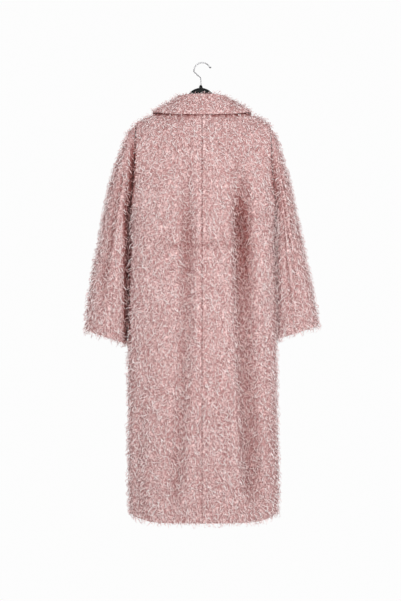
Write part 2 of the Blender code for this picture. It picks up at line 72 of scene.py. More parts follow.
def table(columns, *rows):
    """Rows whose values go by the names of their columns."""
    row = namedtuple("Row", columns)
    return [row(*values) for values in rows]


# ---------------------------------------------------------------- sizes of the coat's solids

# The solids were made from these. They are said again because this script reads only the frame.
WALL = 0.008
SEAM = 0.0003
LAYER = 0.0012
ARMPIT_Z = -0.428
HEM_Z = -1.300
HEM_SIDE_RISE = 0.021
HEM_CURVE = 7
NECK_HALF = 0.068
BACK_NECK_Z = -0.124
FRONT_NECK_Z = -0.190
FRONT_NECK_CURVE = 2.2
LAP = 0.022
TUCK_START, TUCK_END = 0.052, 0.027
BUTTON_RADIUS = 0.014
BUTTON_THICKNESS = 0.0045
BUTTON_HEIGHTS = (-0.300, -0.450, -0.600, -0.750)

SHOULDER = table(
    "x z",
    (0.000, -0.100), (0.068, -0.108), (0.084, -0.1155), (0.100, -0.1245), (0.120, -0.1350),
    (0.141, -0.1448), (0.167, -0.1560), (0.184, -0.1652), (0.196, -0.1780), (0.225, -0.2140),
)
NECK_FALL, ARM_FALL, FALL_SPAN = 0.045, 0.100, 0.150

SECTIONS = table(
    "z left right back front",
    (-0.180, 0.258, 0.268, 0.064, 0.062),
    (-0.300, 0.236, 0.246, 0.068, 0.068),
    (-0.428, 0.209, 0.2165, 0.071, 0.074),
    (-0.600, 0.2095, 0.2115, 0.073, 0.078),
    (-0.800, 0.2100, 0.2120, 0.075, 0.081),
    (-1.050, 0.2095, 0.2150, 0.078, 0.084),
    (-1.200, 0.2090, 0.2180, 0.080, 0.086),
    (-1.300, 0.2060, 0.2155, 0.081, 0.087),
)
OVAL = 2.3
ARMHOLE_TOP = {LEFT: 0.190, RIGHT: 0.196}
ARMHOLE_CURVE = 3.0

FOLDS = table(
    "face top_x middle_x foot_x top_z foot_z left right depth",
    (BACK, -0.046, -0.046, -0.084, -0.220, -1.300, 0.034, 0.032, 0.015),
    (BACK, 0.107, 0.113, 0.144, -0.210, -1.300, 0.032, 0.058, 0.025),
    (BACK, -0.168, -0.176, -0.176, -0.900, -1.360, 0.024, 0.030, 0.007),
    (FRONT, 0.096, 0.108, 0.132, -0.260, -1.340, 0.040, 0.040, 0.019),
    (FRONT, -0.104, -0.112, -0.120, -0.300, -1.380, 0.044, 0.036, 0.016),
    (FRONT, 0.050, 0.056, 0.060, -0.760, -1.420, 0.026, 0.030, 0.008),
)
# A fold grows and dies away over these shares of its length, and presses in no further than
# this share of the coat's fullness.
FOLD_GROWTH, FOLD_END, FOLD_LIMIT = 0.28, 0.12, 0.6

RINGS = table(
    "outer_z outer_left outer_right inner_z inner_left inner_right depth forward",
    (-0.194, 0.2105, 0.2035, -0.441, 0.2102, 0.2182, 0.043, 0.000),
    (-0.217, 0.2205, 0.2135, -0.456, 0.2100, 0.2172, 0.049, 0.001),
    (-0.252, 0.2320, 0.2240, -0.476, 0.2098, 0.2159, 0.055, 0.002),
    (-0.302, 0.2505, 0.2388, -0.502, 0.2096, 0.2147, 0.0592, 0.004),
    (-0.362, 0.2665, 0.2552, -0.533, 0.2094, 0.2134, 0.0612, 0.007),
    (-0.432, 0.2805, 0.2696, -0.570, 0.2094, 0.2125, 0.0612, 0.010),
    (-0.512, 0.2965, 0.2874, -0.616, 0.2100, 0.2123, 0.0584, 0.013),
    (-0.602, 0.3140, 0.3055, -0.672, 0.2109, 0.2123, 0.0532, 0.016),
    (-0.690, 0.3290, 0.3235, -0.740, 0.2116, 0.2130, 0.0478, 0.019),
    (-0.757, 0.3350, 0.3366, -0.795, 0.2135, 0.2142, 0.0432, 0.021),
)
CUFF_DROP = {LEFT: 0.005, RIGHT: -0.009}
SLEEVE_OVAL = 2.2
SLEEVE_STEPS = 112
TOP_SLEEVE_STEPS = 64
# The rows of a sleeve, in rings from its head, and at its other end in rings from its cuff.
SLEEVE_ROWS = 64
HEAD_ROWS, LENGTH_START = (0, 0.05, 0.14, 0.28), 0.5
CUFF_ROWS, LENGTH_END = (0.075, 0.035, 0.012, 0), 0.16
CREASES = table(
    "side around width depth start end",
    (LEFT, 0.20, 0.055, 0.0050, 0.15, 0.95),
    (LEFT, 0.80, 0.055, 0.0050, 0.20, 0.90),
    (RIGHT, 0.155, 0.024, 0.0040, 0.10, 0.80),
    (RIGHT, 0.225, 0.026, 0.0045, 0.15, 0.95),
    (RIGHT, 0.300, 0.026, 0.0045, 0.20, 1.00),
    (RIGHT, 0.78, 0.055, 0.0050, 0.20, 0.90),
)
CREASE_GROWTH = 0.2

COLLAR = table(
    "face neck_x neck_z edge_x edge_z stand",
    (BACK, 0.000, -0.1240, 0.000, -0.1532, 0.0333),
    (BACK, 0.018, -0.1230, 0.040, -0.1524, 0.0325),
    (BACK, 0.036, -0.1200, 0.078, -0.1507, 0.0295),
    (BACK, 0.052, -0.1160, 0.108, -0.1472, 0.0240),
    (BACK, 0.063, -0.1110, 0.1275, -0.1436, 0.0180),
    (BACK, 0.067, -0.1090, 0.1350, -0.1436, 0.0160),
    (FRONT, 0.068, -0.1080, 0.1380, -0.1434, 0.0150),
    (FRONT, 0.0678, -0.1095, 0.1395, -0.1475, 0.0147),
    (FRONT, 0.067, -0.1150, 0.141, -0.1620, 0.0145),
    (FRONT, 0.062, -0.1310, 0.137, -0.1900, 0.0140),
    (FRONT, 0.051, -0.1520, 0.126, -0.2200, 0.0135),
    (FRONT, 0.033, -0.1730, 0.106, -0.2500, 0.0130),
    (FRONT, 0.012, -0.1860, 0.080, -0.2720, 0.0125),
)
COLLAR_WALL = 0.008
COLLAR_EDGE_WALL = 0.0055
COLLAR_LIFT = 0.0018
FALL_STEPS = 4
STAND_STEPS = 2
# Which way is away from the neck, and how far the stand leans that way.
NECK_SPREAD, NECK_FORWARD, STAND_LEAN = 0.55, 0.004, 0.12
# Where the upper face turns over the crest, in walls outwards and upwards.
CREST_OUT, CREST_UP = 0.75, 0.6
# Which way the fall's first line faces, and how far up the stand it starts.
FALL_OUT, FALL_UP, FALL_SHARE, FALL_RISE = 0.9, 0.3, 0.5, 0.006

WIRE = 0.0034
STEM_X = -0.0035
STEM_FOOT_Z, STEM_TOP_Z, STEM_STEPS = -0.082, -0.046, 6
HOOK_BEND = ((-0.0050, -0.0415), (-0.0090, -0.0370), (-0.0145, -0.0325), (-0.0193, -0.0277))
HOOK_CENTRE_X, HOOK_RADIUS = 0.0005, 0.0235
HOOK_START, HOOK_END, HOOK_STEPS = 188, 24, 17
HOOK_TIP = ((0.0243, -0.0120), (0.0256, -0.0133))

# ---------------------------------------------------------------- sizes of the looks

# The woven base lies this far below the solid's outer face, and the fur fills what is left.
PILE_DEPTH, COLLAR_PILE_DEPTH = 0.0038, 0.0016
# Between a sleeve and the body the base comes this close to the face. The crevice, with its
# painted shade, reaches this far on the sleeve and on the body beside it. It starts at the
# shoulder's end, is full from the chest down and over the nearest fifth of its reach, and ends at
# the cuff.
CREVICE_PILE_DEPTH = 0.0006
SLEEVE_SHADE, BODY_SHADE, SHADE_CORE = 0.019, 0.007, 1.25
SHADE_TOP_Z, SHADE_FULL_Z, SHADE_FOOT_Z, SHADE_FOOT_SPAN = -0.185, -0.300, -0.815, 0.04
# The strength of its painted shade on each side, and the painted shade added to it beside the
# right armhole. Its pile is thinner by this share of that.
SIDE_PAINTED_SHADE = {LEFT: 0.90, RIGHT: 0.20}
RIGHT_PAINTED_SHADE, RIGHT_PAINTED_SHADE_Z, RIGHT_PAINTED_SHADE_SPAN = 0.25, -0.335, 0.055
CREVICE_THINNING = 0.5
# The soft crease across the back, under the waist: its height, ends, wave and size.
CREASE_Z, CREASE_ENDS, CREASE_FADE = -0.519, (-0.130, 0.095), 0.03
CREASE_WAVE, CREASE_WAVES = 0.004, 40
CREASE_WIDTH, CREASE_DEPTH = 0.009, 0.0016
# A fold this deep has its full painted shade, which is this share of the deepest one, and less at
# the hem. The two kinds of crease have a set share of painted shade.
FOLD_SHADE_DEPTH, FOLD_SHADE_POWER = 0.020, 1.5
FOLD_SHARE, HEM_FOLD_SHARE, FOLD_SHARE_SPAN = 0.64, 0.26, 0.35
WAIST_CREASE_SHADE, SLEEVE_CREASE_SHADE = 0.5, 0.62
# Under the collar's edge the panels are bare this far from it, and take painted shade this far.
COLLAR_BARE, COLLAR_LINE, COLLAR_LINE_SHADE = 0.0055, 0.0040, 0.58
# Along the centre-back seam a line of painted shade is full down to here, and this share of that at
# the hem. Its fur is thinner by this much, but never more than this.
SEAM_LINE, SEAM_LINE_SHADE = 0.0030, 0.38
SEAM_FADE_Z, SEAM_FADE_SPAN, SEAM_FOOT_SHARE = -0.62, 0.30, 0.30
SEAM_THINNING, SEAM_THINNEST = 1.3, 0.8
# No fur grows round and just above a button, or under the right front's edge.
BUTTON_BARE, ABOVE_BUTTON, LAP_BARE = 0.002, 0.008, 0.004
# At any seam the pile is this thin, and full from this far in.
SEAM_PILE, SEAM_PILE_SPAN = 0.30, 0.004
# Every edge and seam rolls inwards over this distance. The inside rolls by this share of that,
# and stays this far from the solid's inner face. There are lines this far in from an edge, if
# they fit in this share of the next gap.
ROLL, INNER_ROLL, INNER_GAP = 0.0026, 0.25, 0.0002
EDGE_STEPS, EDGE_ROOM = (0.0008, 0.0022, 0.0045), 0.8
# A panel's first row counts as this far from its seam, so that the shoulder sinks in less.
SHOULDER_HEAD_START = 0.0020
# The cloth is uneven by up to this much, and even at its edges.
UNEVEN, UNEVEN_SCALE, EVEN_EDGE = 0.0012, 9.0, 0.02
# A panel's columns are measured out at this height, closer at its side. Its first rows are
# shares of the way from the shoulder to the armpit, and the next ones lie closer at the top.
PANEL_COLUMNS, MEASURED_Z, MEASURE_STEPS, SIDE_CROWDING = 30, -0.5, 600, 2.4
UPPER_ROWS, LOWER_ROWS, SHOULDER_CROWDING = 24, 66, 1.6
SHOULDER_ROWS = (0, 4e-5, 4.5e-4, 1.8e-3)
# The collar's lines are this many times closer than the solid's, with more at ends and edges.
COLLAR_FINER, COLLAR_ENDS, COLLAR_EDGES = 4, (0.04, 0.10), (0.05, 0.14)
# Underneath, the collar's edge rolls in by this share of what it does above. Its strands are
# shorter and its pile thinner along the edge, over these distances.
COLLAR_INNER_ROLL = 0.4
EDGE_REACH, COLLAR_REACH, REACH_SPAN = 0.28, 0.72, 0.016
EDGE_PILE, EDGE_PILE_SPAN = 0.5, 0.004

# The flat pattern pieces, as they are cut.
CUTS = table(
    "piece width length area",
    ("back_left", 0.285, 1.20, 0.310),
    ("back_right", 0.300, 1.20, 0.320),
    ("front_left", 0.310, 1.20, 0.335),
    ("front_right", 0.315, 1.20, 0.345),
    ("sleeve_left_top", 0.230, 0.60, 0.115),
    ("sleeve_left_under", 0.170, 0.42, 0.065),
    ("sleeve_right_top", 0.230, 0.60, 0.115),
    ("sleeve_right_under", 0.170, 0.42, 0.065),
    ("collar", 0.560, 0.130, 0.058),
)

# ---------------------------------------------------------------- rules of the cloth


def curve(places, values, at):
    """Values at places of the smooth curve through the given places, which ascend."""
    at = np.clip(at, places[0], places[-1])
    slopes = np.gradient(values, places, axis=0)
    i = np.clip(np.searchsorted(places, at) - 1, 0, len(places) - 2)
    span = places[i + 1] - places[i]
    t = (at - places[i]) / span
    extra = (1,) * (np.ndim(values) - 1)
    t, span = t.reshape(t.shape + extra), span.reshape(span.shape + extra)
    start = (1 + 2 * t) * (1 - t) ** 2 * values[i] + t * (1 - t) ** 2 * span * slopes[i]
    end = t * t * (3 - 2 * t) * values[i + 1] - t * t * (1 - t) * span * slopes[i + 1]
    return start + end


def ease(t):
    t = np.clip(t, 0.0, 1.0)
    return t * t * (3 - 2 * t)


def mix(a, b, t):
    return a + (b - a) * t


def unit(v):
    return v / np.maximum(np.linalg.norm(v, axis=-1, keepdims=True), 1e-12)


# The step for a slope, and how near counts as on a line, and on the shoulder's ridge.
NUDGE, CLOSE, ON_RIDGE, NEAR_RIDGE = 0.0006, 1e-5, 1e-4, 5e-4
SHOULDER_X = np.array([s.x for s in SHOULDER])
SHOULDER_Z = np.array([s.z for s in SHOULDER])
SECTION_HEIGHTS = np.array([s.z for s in reversed(SECTIONS)])
SECTION_VALUES = {
    name: np.array([getattr(s, name) for s in reversed(SECTIONS)])
    for name in ("left", "right", "back", "front")
}


def shoulder_z(x):
    return curve(SHOULDER_X, SHOULDER_Z, np.abs(x))


def shoulder_slope(x):
    near, far = np.maximum(np.abs(x) - NUDGE, 0), np.abs(x) + NUDGE
    return (shoulder_z(far) - shoulder_z(near)) / (far - near) * np.sign(x)


def half_width(side, z):
    return curve(SECTION_HEIGHTS, SECTION_VALUES["left" if side == LEFT else "right"], z)


def width_at(x, z):
    """Half the coat's width on the side that each place is on."""
    return np.where(x < 0, half_width(LEFT, z), half_width(RIGHT, z))


def armhole_x(side, z):
    top = ARMHOLE_TOP[side]
    top_z = shoulder_z(np.array(top))
    share = (z - top_z) / (ARMPIT_Z - top_z)
    return mix(top, half_width(side, np.array(ARMPIT_Z)), np.clip(share, 0.0, 1.0) ** ARMHOLE_CURVE)


def fold_depth(face, x, z):
    """How far the folds press the cloth inwards at each place."""
    depth = np.zeros_like(x)
    for fold in FOLDS:
        if fold.face != face:
            continue
        down = np.clip((fold.top_z - z) / (fold.top_z - fold.foot_z), 0.0, 1.0)
        line = (
            fold.top_x * (1 - down) * (1 - 2 * down)
            + fold.middle_x * 4 * down * (1 - down)
            + fold.foot_x * down * (2 * down - 1)
        )
        across = np.abs(x - line) / np.where(x < line, fold.left, fold.right)
        strength = ease(down / FOLD_GROWTH) * ease((1 - down) / FOLD_END)
        depth += fold.depth * strength * np.cos(np.minimum(across, 1.0) * math.pi / 2) ** 2
    return depth


def fullness(face, x, z):
    """The cloth's distance from the coat's middle plane, measured to the solid's outer face."""
    drop = np.maximum(shoulder_z(x) - z, 0.0)
    fall = mix(NECK_FALL, ARM_FALL, ease(np.abs(x) / FALL_SPAN))
    across = np.minimum(np.abs(x) / width_at(x, z), 1.0)
    section = curve(SECTION_HEIGHTS, SECTION_VALUES["back" if face == BACK else "front"], z)
    full = section * np.sqrt(1 - np.exp(-drop / fall)) * (1 - across**OVAL) ** (1 / OVAL)
    return full - np.minimum(fold_depth(face, x, z), FOLD_LIMIT * full)


def body_point(face, x, z):
    return np.stack([x, face * fullness(face, x, z), z], axis=-1)


def body_normal(face, x, z):
    """The outward direction of the body's outer face at each place."""
    slope_x = (fullness(face, x + NUDGE, z) - fullness(face, x - NUDGE, z)) / (2 * NUDGE)
    slope_z = (fullness(face, x, z + NUDGE) - fullness(face, x, z - NUDGE)) / (2 * NUDGE)
    normal = np.stack([-slope_x, np.full_like(x, face), -slope_z], axis=-1)
    ridge = np.stack([-shoulder_slope(x), np.zeros_like(x), np.ones_like(x)], axis=-1)
    normal = np.where((shoulder_z(x) - z < ON_RIDGE)[..., None], ridge, normal)
    at_side = (z < ARMPIT_Z + CLOSE) & (np.abs(x) > width_at(x, z) - CLOSE)
    sideways = np.stack([np.sign(x), np.zeros_like(x), np.zeros_like(x)], axis=-1)
    return unit(np.where(at_side[..., None], sideways, normal))


def neckline_z(face, x):
    low = BACK_NECK_Z if face == BACK else FRONT_NECK_Z
    share = np.minimum(np.abs(x) / NECK_HALF, 1.0)
    round_share = share**2 if face == BACK else 1 - np.sqrt(1 - share**FRONT_NECK_CURVE)
    return mix(low, shoulder_z(np.array(NECK_HALF)), round_share)


# ---------------------------------------------------------------- meshes and objects


def placed(name, data):
    """A new object in the scene."""
    made = bpy.data.objects.new(name, data)
    bpy.context.scene.collection.objects.link(made)
    return made


def add(name, data, *materials):
    data.materials.clear()
    for held in materials:
        data.materials.append(held)
    return placed(name, data)


def plain_mesh(guide):
    """The final mesh of an object, which is then removed."""
    bpy.context.view_layer.update()
    graph = bpy.context.evaluated_depsgraph_get()
    data = bpy.data.meshes.new_from_object(guide.evaluated_get(graph))
    bpy.data.objects.remove(guide)
    return data


def mesh_of(name, shape):
    """The finished mesh of a bmesh, which is then freed."""
    data = bpy.data.meshes.new(name)
    shape.to_mesh(data)
    shape.free()
    return data


def turned_outwards(data, merge=0.0):
    """Merges a closed mesh's points that nearly meet, and turns its smooth faces outwards."""
    shape = bmesh.new()
    shape.from_mesh(data)
    if merge:
        bmesh.ops.remove_doubles(shape, verts=shape.verts[:], dist=merge)
    bmesh.ops.recalc_face_normals(shape, faces=shape.faces[:])
    shape.to_mesh(data)
    shape.free()
    data.shade_smooth()
    return data


# ---------------------------------------------------------------- making cloth shells


def lengths_along(points, axis):
    """The distance along the rows or columns of a grid of points, from its first line."""
    step = np.linalg.norm(np.diff(points, axis=axis), axis=-1)
    start = np.zeros_like(np.take(step, [0], axis=axis))
    return np.cumsum(np.concatenate([start, step], axis=axis), axis=axis)


def edge_distance(points, head_start=0.0):
    """The distance of each point of a grid to its nearest seam, and to its nearest edge.

    Its first row and both its sides are seams, and its last row is a hem. A head start makes
    the first row count as that far from its seam, which then sinks in less."""
    down, across = lengths_along(points, 0), lengths_along(points, 1)
    seam = np.minimum.reduce([down + head_start, across, across[:, -1:] - across])
    return seam, np.minimum(seam, down[-1:] - down)


def roll_in(distance):
    """How far an edge that is rounded over ROLL lies below the face."""
    return ROLL * (1 - np.sqrt(1 - np.clip(1 - distance / ROLL, 0.0, 1.0) ** 2))


def unevenness(points):
    """How far soft lumps raise or sink the cloth at each point."""
    flat = points.reshape(-1, 3)
    lumps = [noise.noise(Vector(p) * UNEVEN_SCALE) for p in flat]
    return np.array(lumps).reshape(points.shape[:-1]) * UNEVEN


def crevice(points):
    """From 0 to 1, how deep each point lies between the body and the sleeve, and its painted shade.
    """
    x, z = np.abs(points[..., 0]), points[..., 2]
    fade = ease((SHADE_TOP_Z - z) / (SHADE_TOP_Z - SHADE_FULL_Z))
    fade = fade * ease((z - SHADE_FOOT_Z) / SHADE_FOOT_SPAN)
    depth = np.zeros_like(x)
    for side in (LEFT, RIGHT):
        beyond = x - np.where(z > ARMPIT_Z, armhole_x(side, z), half_width(side, z))
        reach = np.where(beyond > 0, SLEEVE_SHADE, BODY_SHADE)
        here = ease(SHADE_CORE * (1 - np.abs(beyond) / reach))
        depth = np.where(np.sign(points[..., 0]) == side, here * fade, depth)
    # Beside the right armhole more painted shade is added, and each side has its own painted shade
    # strength.
    right_painted_shade = RIGHT_PAINTED_SHADE * np.exp(-(((z - RIGHT_PAINTED_SHADE_Z) / RIGHT_PAINTED_SHADE_SPAN) ** 2))
    strength = np.where(points[..., 0] < 0, SIDE_PAINTED_SHADE[LEFT], SIDE_PAINTED_SHADE[RIGHT] + right_painted_shade)
    return depth, depth * strength


def shell_mesh(name, outer, inner, **looks):
    """A closed shell from two grids of points, with its outer face's values for fur and painted
    shade.
    """
    rows, columns = outer.shape[:2]
    count = rows * columns
    index = np.arange(count).reshape(rows, columns)
    a, b, c, d = index[:-1, :-1], index[:-1, 1:], index[1:, 1:], index[1:, :-1]
    quads = np.stack([a, b, c, d], axis=-1).reshape(-1, 4)
    rim = np.concatenate([index[0, :-1], index[:-1, -1], index[-1, :0:-1], index[:0:-1, 0]])
    after = np.roll(rim, -1)
    sides = np.stack([after, rim, rim + count, after + count], axis=-1)
    faces = np.concatenate([quads, quads[:, ::-1] + count, sides])
    data = bpy.data.meshes.new(name)
    points = np.concatenate([outer.reshape(-1, 3), inner.reshape(-1, 3)])
    data.from_pydata(points.tolist(), [], faces.tolist())
    for label, values in looks.items():
        held = data.attributes.new(label, "FLOAT", "POINT")
        values = np.broadcast_to(values, outer.shape[:2]).ravel()
        held.data.foreach_set("value", np.concatenate([values, np.zeros(count)]))
    inside = np.zeros(len(faces), np.int32)
    inside[len(quads) : 2 * len(quads)] = 1
    data.polygons.foreach_set("material_index", inside)
    return turned_outwards(data)


def column_shares(face, side, start):
    """Places across a panel, even along its surface, closer at its edges, one at the neck."""
    dense = 1 - (1 - np.linspace(0, 1, MEASURE_STEPS)) ** SIDE_CROWDING
    level = np.full_like(dense, MEASURED_Z)
    x = (start + (half_width(side, level) - start) * dense) * side
    along = lengths_along(body_point(face, x, level), 0)
    steps = np.array(EDGE_STEPS)
    inner = np.linspace(steps[-1] * 2, along[-1] - steps[-1] * 2, PANEL_COLUMNS)
    wanted = np.concatenate([[0], steps, inner, along[-1] - steps[::-1], [along[-1]]])
    shares = np.interp(wanted, along, dense)
    neck = (NECK_HALF - start) / (ARMHOLE_TOP[side] - start)
    shares[np.argmin(np.abs(shares - neck))] = neck
    return shares, neck


def row_levels():
    """The rows of a panel: the share of the way down above the armpit, and then below it."""
    above = [(k / UPPER_ROWS) ** SHOULDER_CROWDING for k in range(1, UPPER_ROWS + 1)]
    below = [k / LOWER_ROWS for k in range(1, LOWER_ROWS - 1)]
    below += [1 - step / (ARMPIT_Z - HEM_Z) for step in (0, *EDGE_STEPS)]
    above, below = (*SHOULDER_ROWS, *above), sorted(below)
    return [(True, share) for share in above] + [(False, share) for share in below]


def lap_shift(x):
    """How far the left front lies under the right one."""
    return (WALL + LAYER) * ease((TUCK_START + x) / (TUCK_START - TUCK_END))


def panel_grid(face, side, start):
    """Outer points and outward directions of a quarter of the body, as in the solid."""
    shares, neck = column_shares(face, side, start)
    last = len(shares) - 1
    points, normals = [], []
    top_x = start + (ARMHOLE_TOP[side] - start) * shares
    on_neck = shares < neck - CLOSE
    top_z = np.where(on_neck, neckline_z(face, top_x), shoulder_z(top_x))
    top_side = shoulder_z(np.array(ARMHOLE_TOP[side]))
    for above, down in row_levels():
        if above:
            edge = armhole_x(side, mix(top_side, ARMPIT_Z, down))
            z = mix(top_z, ARMPIT_Z, down)
        else:
            z = mix(ARMPIT_Z, HEM_Z + HEM_SIDE_RISE * shares**HEM_CURVE, down)
            edge = half_width(side, z)
        x = (start + (edge - start) * shares) * side
        if above and down < 1:
            x[last] -= side * SEAM / 2
        on_shoulder = ~on_neck & (above and down == 0)
        z = np.where(on_shoulder, shoulder_z(x), z)
        point, normal = body_point(face, x, z), body_normal(face, x, z)
        if face == FRONT and side == LEFT:
            point = point - normal * lap_shift(x)[:, None]
        if above:
            normal[last, 0] = side * max(side * normal[last, 0], 0.0)
        on_seam = on_shoulder
        on_seam[last] |= not (above and down < 1)
        point[on_seam, 1] = face * SEAM / 2
        points.append(point)
        normals.append(unit(normal))
    return np.array(points), np.array(normals)


def waist_crease(points):
    """From 0 to 1, how far each point of the back lies in the soft crease across it."""
    x, z = points[..., 0], points[..., 2]
    start, end = CREASE_ENDS
    ends = ease((x - start) / CREASE_FADE) * ease((end - x) / CREASE_FADE)
    line = CREASE_Z + CREASE_WAVE * np.sin(x * CREASE_WAVES)
    return ends * np.exp(-(((z - line) / CREASE_WIDTH) ** 2))


def near(points, centres, distance):
    """True for each point of a grid that is within a distance of any of the centres."""
    tree = kdtree.KDTree(len(centres))
    for i, centre in enumerate(centres):
        tree.insert(centre, i)
    tree.balance()
    flat = [tree.find(p)[2] < distance for p in points.reshape(-1, 3)]
    return np.array(flat).reshape(points.shape[:-1])


def cloth_shell(
    name, points, normals, pile=1.0, sunk=0.0, painted_line_shade=0.0, press=0.0, head_start=0.0
):
    """A shell between the woven base's outer face and the solid's inner face, with painted shade on
    it.
    """
    seam, edge = edge_distance(points, head_start)
    roll, lumps = roll_in(edge), unevenness(points)
    between, crevice_painted_shade = crevice(points)
    depth = mix(PILE_DEPTH, CREVICE_PILE_DEPTH, between) + ease(edge / EVEN_EDGE) * np.abs(lumps)
    outer = points - normals * (depth + roll + press)[..., None]
    inner = points - normals * (WALL - INNER_ROLL * roll - INNER_GAP)[..., None]
    thinned = pile * mix(SEAM_PILE, 1.0, ease(seam / SEAM_PILE_SPAN))
    thinned = thinned * (1 - CREVICE_THINNING * crevice_painted_shade)
    # Folds carry less painted shade below the armpit, and each point keeps the strongest of its
    # painted shades.
    low = ease((ARMPIT_Z - points[..., 2]) / FOLD_SHARE_SPAN)
    share = mix(FOLD_SHARE, HEM_FOLD_SHARE, low)
    shade = np.maximum.reduce(np.broadcast_arrays(share * sunk, crevice_painted_shade, painted_line_shade))
    return shell_mesh(name, outer, inner, pile=thinned, reach=1.0, sunk=shade)


# ---------------------------------------------------------------- the sleeves


# The angles of a ring's points, from the sleeve's outer side over the back to the fronts, which
# face of the coat each is on, and its share of the way to the inner side.
RING_TURNS = 2 * math.pi * np.arange(SLEEVE_STEPS) / SLEEVE_STEPS
RING_FACES = np.where(RING_TURNS < math.pi, BACK, FRONT)
RING_SHARES = (1 - np.cos(RING_TURNS)) / 2


def armhole_ring(side):
    """The sleeve's first ring of points, which lies on the armhole."""
    z = mix(shoulder_z(np.array(ARMHOLE_TOP[side])), ARMPIT_Z, RING_SHARES)
    x = side * armhole_x(side, z)
    y = np.where(RING_FACES == BACK, -fullness(BACK, x, z), fullness(FRONT, x, z))
    y[[0, SLEEVE_STEPS // 2]] = 0.0
    return np.stack([x + side * SEAM / 2, y, z], axis=-1)


def sleeve_ring(side, row):
    """A ring of points round the sleeve."""
    drop = CUFF_DROP[side] * ((row.inner_z - ARMPIT_Z) / (RINGS[-1].inner_z - ARMPIT_Z)) ** 2
    outer_x, inner_x = (
        (row.outer_left, row.inner_left) if side == LEFT else (row.outer_right, row.inner_right)
    )
    outer = np.array([side * outer_x, 0, row.outer_z - drop])
    inner = np.array([side * inner_x, 0, row.inner_z - drop])
    ring = mix(outer, inner, RING_SHARES[:, None])
    bulge = row.depth * np.abs(np.sin(RING_TURNS)) ** (2 / SLEEVE_OVAL)
    ring[:, 1] = row.forward + RING_FACES * bulge
    return ring


def sleeve_grid(side):
    """Outer points, outward directions and the creases' painted shade of a whole sleeve, a ring for
    each row.
    """
    rings = np.array([armhole_ring(side)] + [sleeve_ring(side, row) for row in RINGS])
    count = len(rings) - 1
    rows = np.concatenate([
        HEAD_ROWS,
        np.linspace(LENGTH_START, count - LENGTH_END, SLEEVE_ROWS),
        count - np.array(CUFF_ROWS),
    ])
    outer = curve(np.arange(count + 1.0), rings, rows)
    onwards = np.roll(outer, -1, 1) - np.roll(outer, 1, 1)
    normal = unit(np.cross(np.gradient(outer, axis=0), onwards))
    if np.sum(normal * (outer - outer.mean(axis=1, keepdims=True))) < 0:
        normal = -normal
    around = np.arange(SLEEVE_STEPS) / SLEEVE_STEPS
    along = (rows / count)[:, None]
    crease_painted_shade = np.zeros(outer.shape[:2])
    for crease in CREASES:
        if crease.side == side:
            fade = ease((along - crease.start) / CREASE_GROWTH)
            fade = fade * ease((crease.end - along) / CREASE_GROWTH)
            off = np.minimum(np.abs(around - crease.around) / crease.width, 1.0)
            press = crease.depth * fade * np.cos(off * math.pi / 2) ** 2
            outer = outer - normal * press[..., None]
            # Painted shade in the crease.
            crease_painted_shade = crease_painted_shade + SLEEVE_CREASE_SHADE * press / crease.depth
    across = unit(np.cross(outer[0, SLEEVE_STEPS // 2] - outer[0, 0], (0, 1, 0)))
    normal[0] -= (normal[0] @ across)[:, None] * across
    return outer, unit(normal), crease_painted_shade


def sleeve_part(points, normals, crease_painted_shade, first, steps):
    """Some columns of the sleeve, its two edges drawn in from the seams."""
    columns = [(first + k) % SLEEVE_STEPS for k in range(steps + 1)]
    points = points[:, columns].copy()
    for edge, neighbour in ((0, 1), (-1, -2)):
        points[:, edge] += unit(points[:, neighbour] - points[:, edge]) * SEAM / 2
    return points, normals[:, columns], crease_painted_shade[:, columns, None]


def with_edges(points, *others):
    """Grids with more columns close to their two side edges, so that the cloth can roll in."""
    along = lengths_along(points, 1)
    last = points.shape[1] - 1
    gap = min(along[:, 1].mean(), (along[:, -1] - along[:, -2]).mean())
    shares = [0] + [s / gap for s in EDGE_STEPS if s < gap * EDGE_ROOM]
    at = np.array(shares + list(range(1, last)) + [last - s for s in reversed(shares)])
    low = np.clip(np.floor(at).astype(int), 0, last - 1)
    part = (at - low)[None, :, None]
    return [mix(g[:, low], g[:, low + 1], part) for g in (points, *others)]


# ---------------------------------------------------------------- the collar


def on_body(face, side, x, drop):
    """A point of the body this far under the shoulder line, and its outward direction."""
    x = np.array(float(side * max(x, 0.0)))
    drop = max(drop, 0.0)
    z = shoulder_z(x) - drop
    point = np.array([x, 0.0, z]) if drop < NEAR_RIDGE else body_point(face, x, z)
    return point, body_normal(face, x, z)


def collar_profile(turn, side):
    """Points of the collar's upper and under faces, from the neck seam over to its edge."""
    neck_drop = shoulder_z(np.array(turn.neck_x)) - turn.neck_z
    edge_drop = shoulder_z(np.array(turn.edge_x)) - turn.edge_z
    neck, _ = on_body(turn.face, side, turn.neck_x, neck_drop)
    away = unit(neck * (NECK_SPREAD, 1, 0) - (0, NECK_FORWARD, 0))
    up = np.array([0, 0, 1.0]) - STAND_LEAN * away
    top = turn.stand - COLLAR_WALL
    pairs = []
    for k in range(STAND_STEPS + 1):
        foot = neck + up * (SEAM + LAYER + (top - SEAM - LAYER) * k / STAND_STEPS)
        pairs.append((foot - away * COLLAR_WALL, foot))
    crest = neck + up * top
    pairs.append((crest + away * LAYER / 2 + up * COLLAR_WALL, crest + away * LAYER / 2))
    over = crest + away * (LAYER + COLLAR_WALL * CREST_OUT) + up * COLLAR_WALL * CREST_UP
    pairs.append((over, crest + away * LAYER))
    for k in range(FALL_STEPS + 1):
        share = k / FALL_STEPS
        x = mix(turn.neck_x, turn.edge_x, share)
        drop = mix(neck_drop, edge_drop, share)
        point, normal = on_body(turn.face, side, x, float(drop))
        if k == 0:
            normal = unit(away * FALL_OUT + up * FALL_UP)
            point = point + up * min(top * FALL_SHARE, FALL_RISE)
        wall = mix(COLLAR_WALL, COLLAR_EDGE_WALL, share**3)
        pairs.append((point + normal * (COLLAR_LIFT + wall), point + normal * COLLAR_LIFT))
    return list(zip(*pairs))


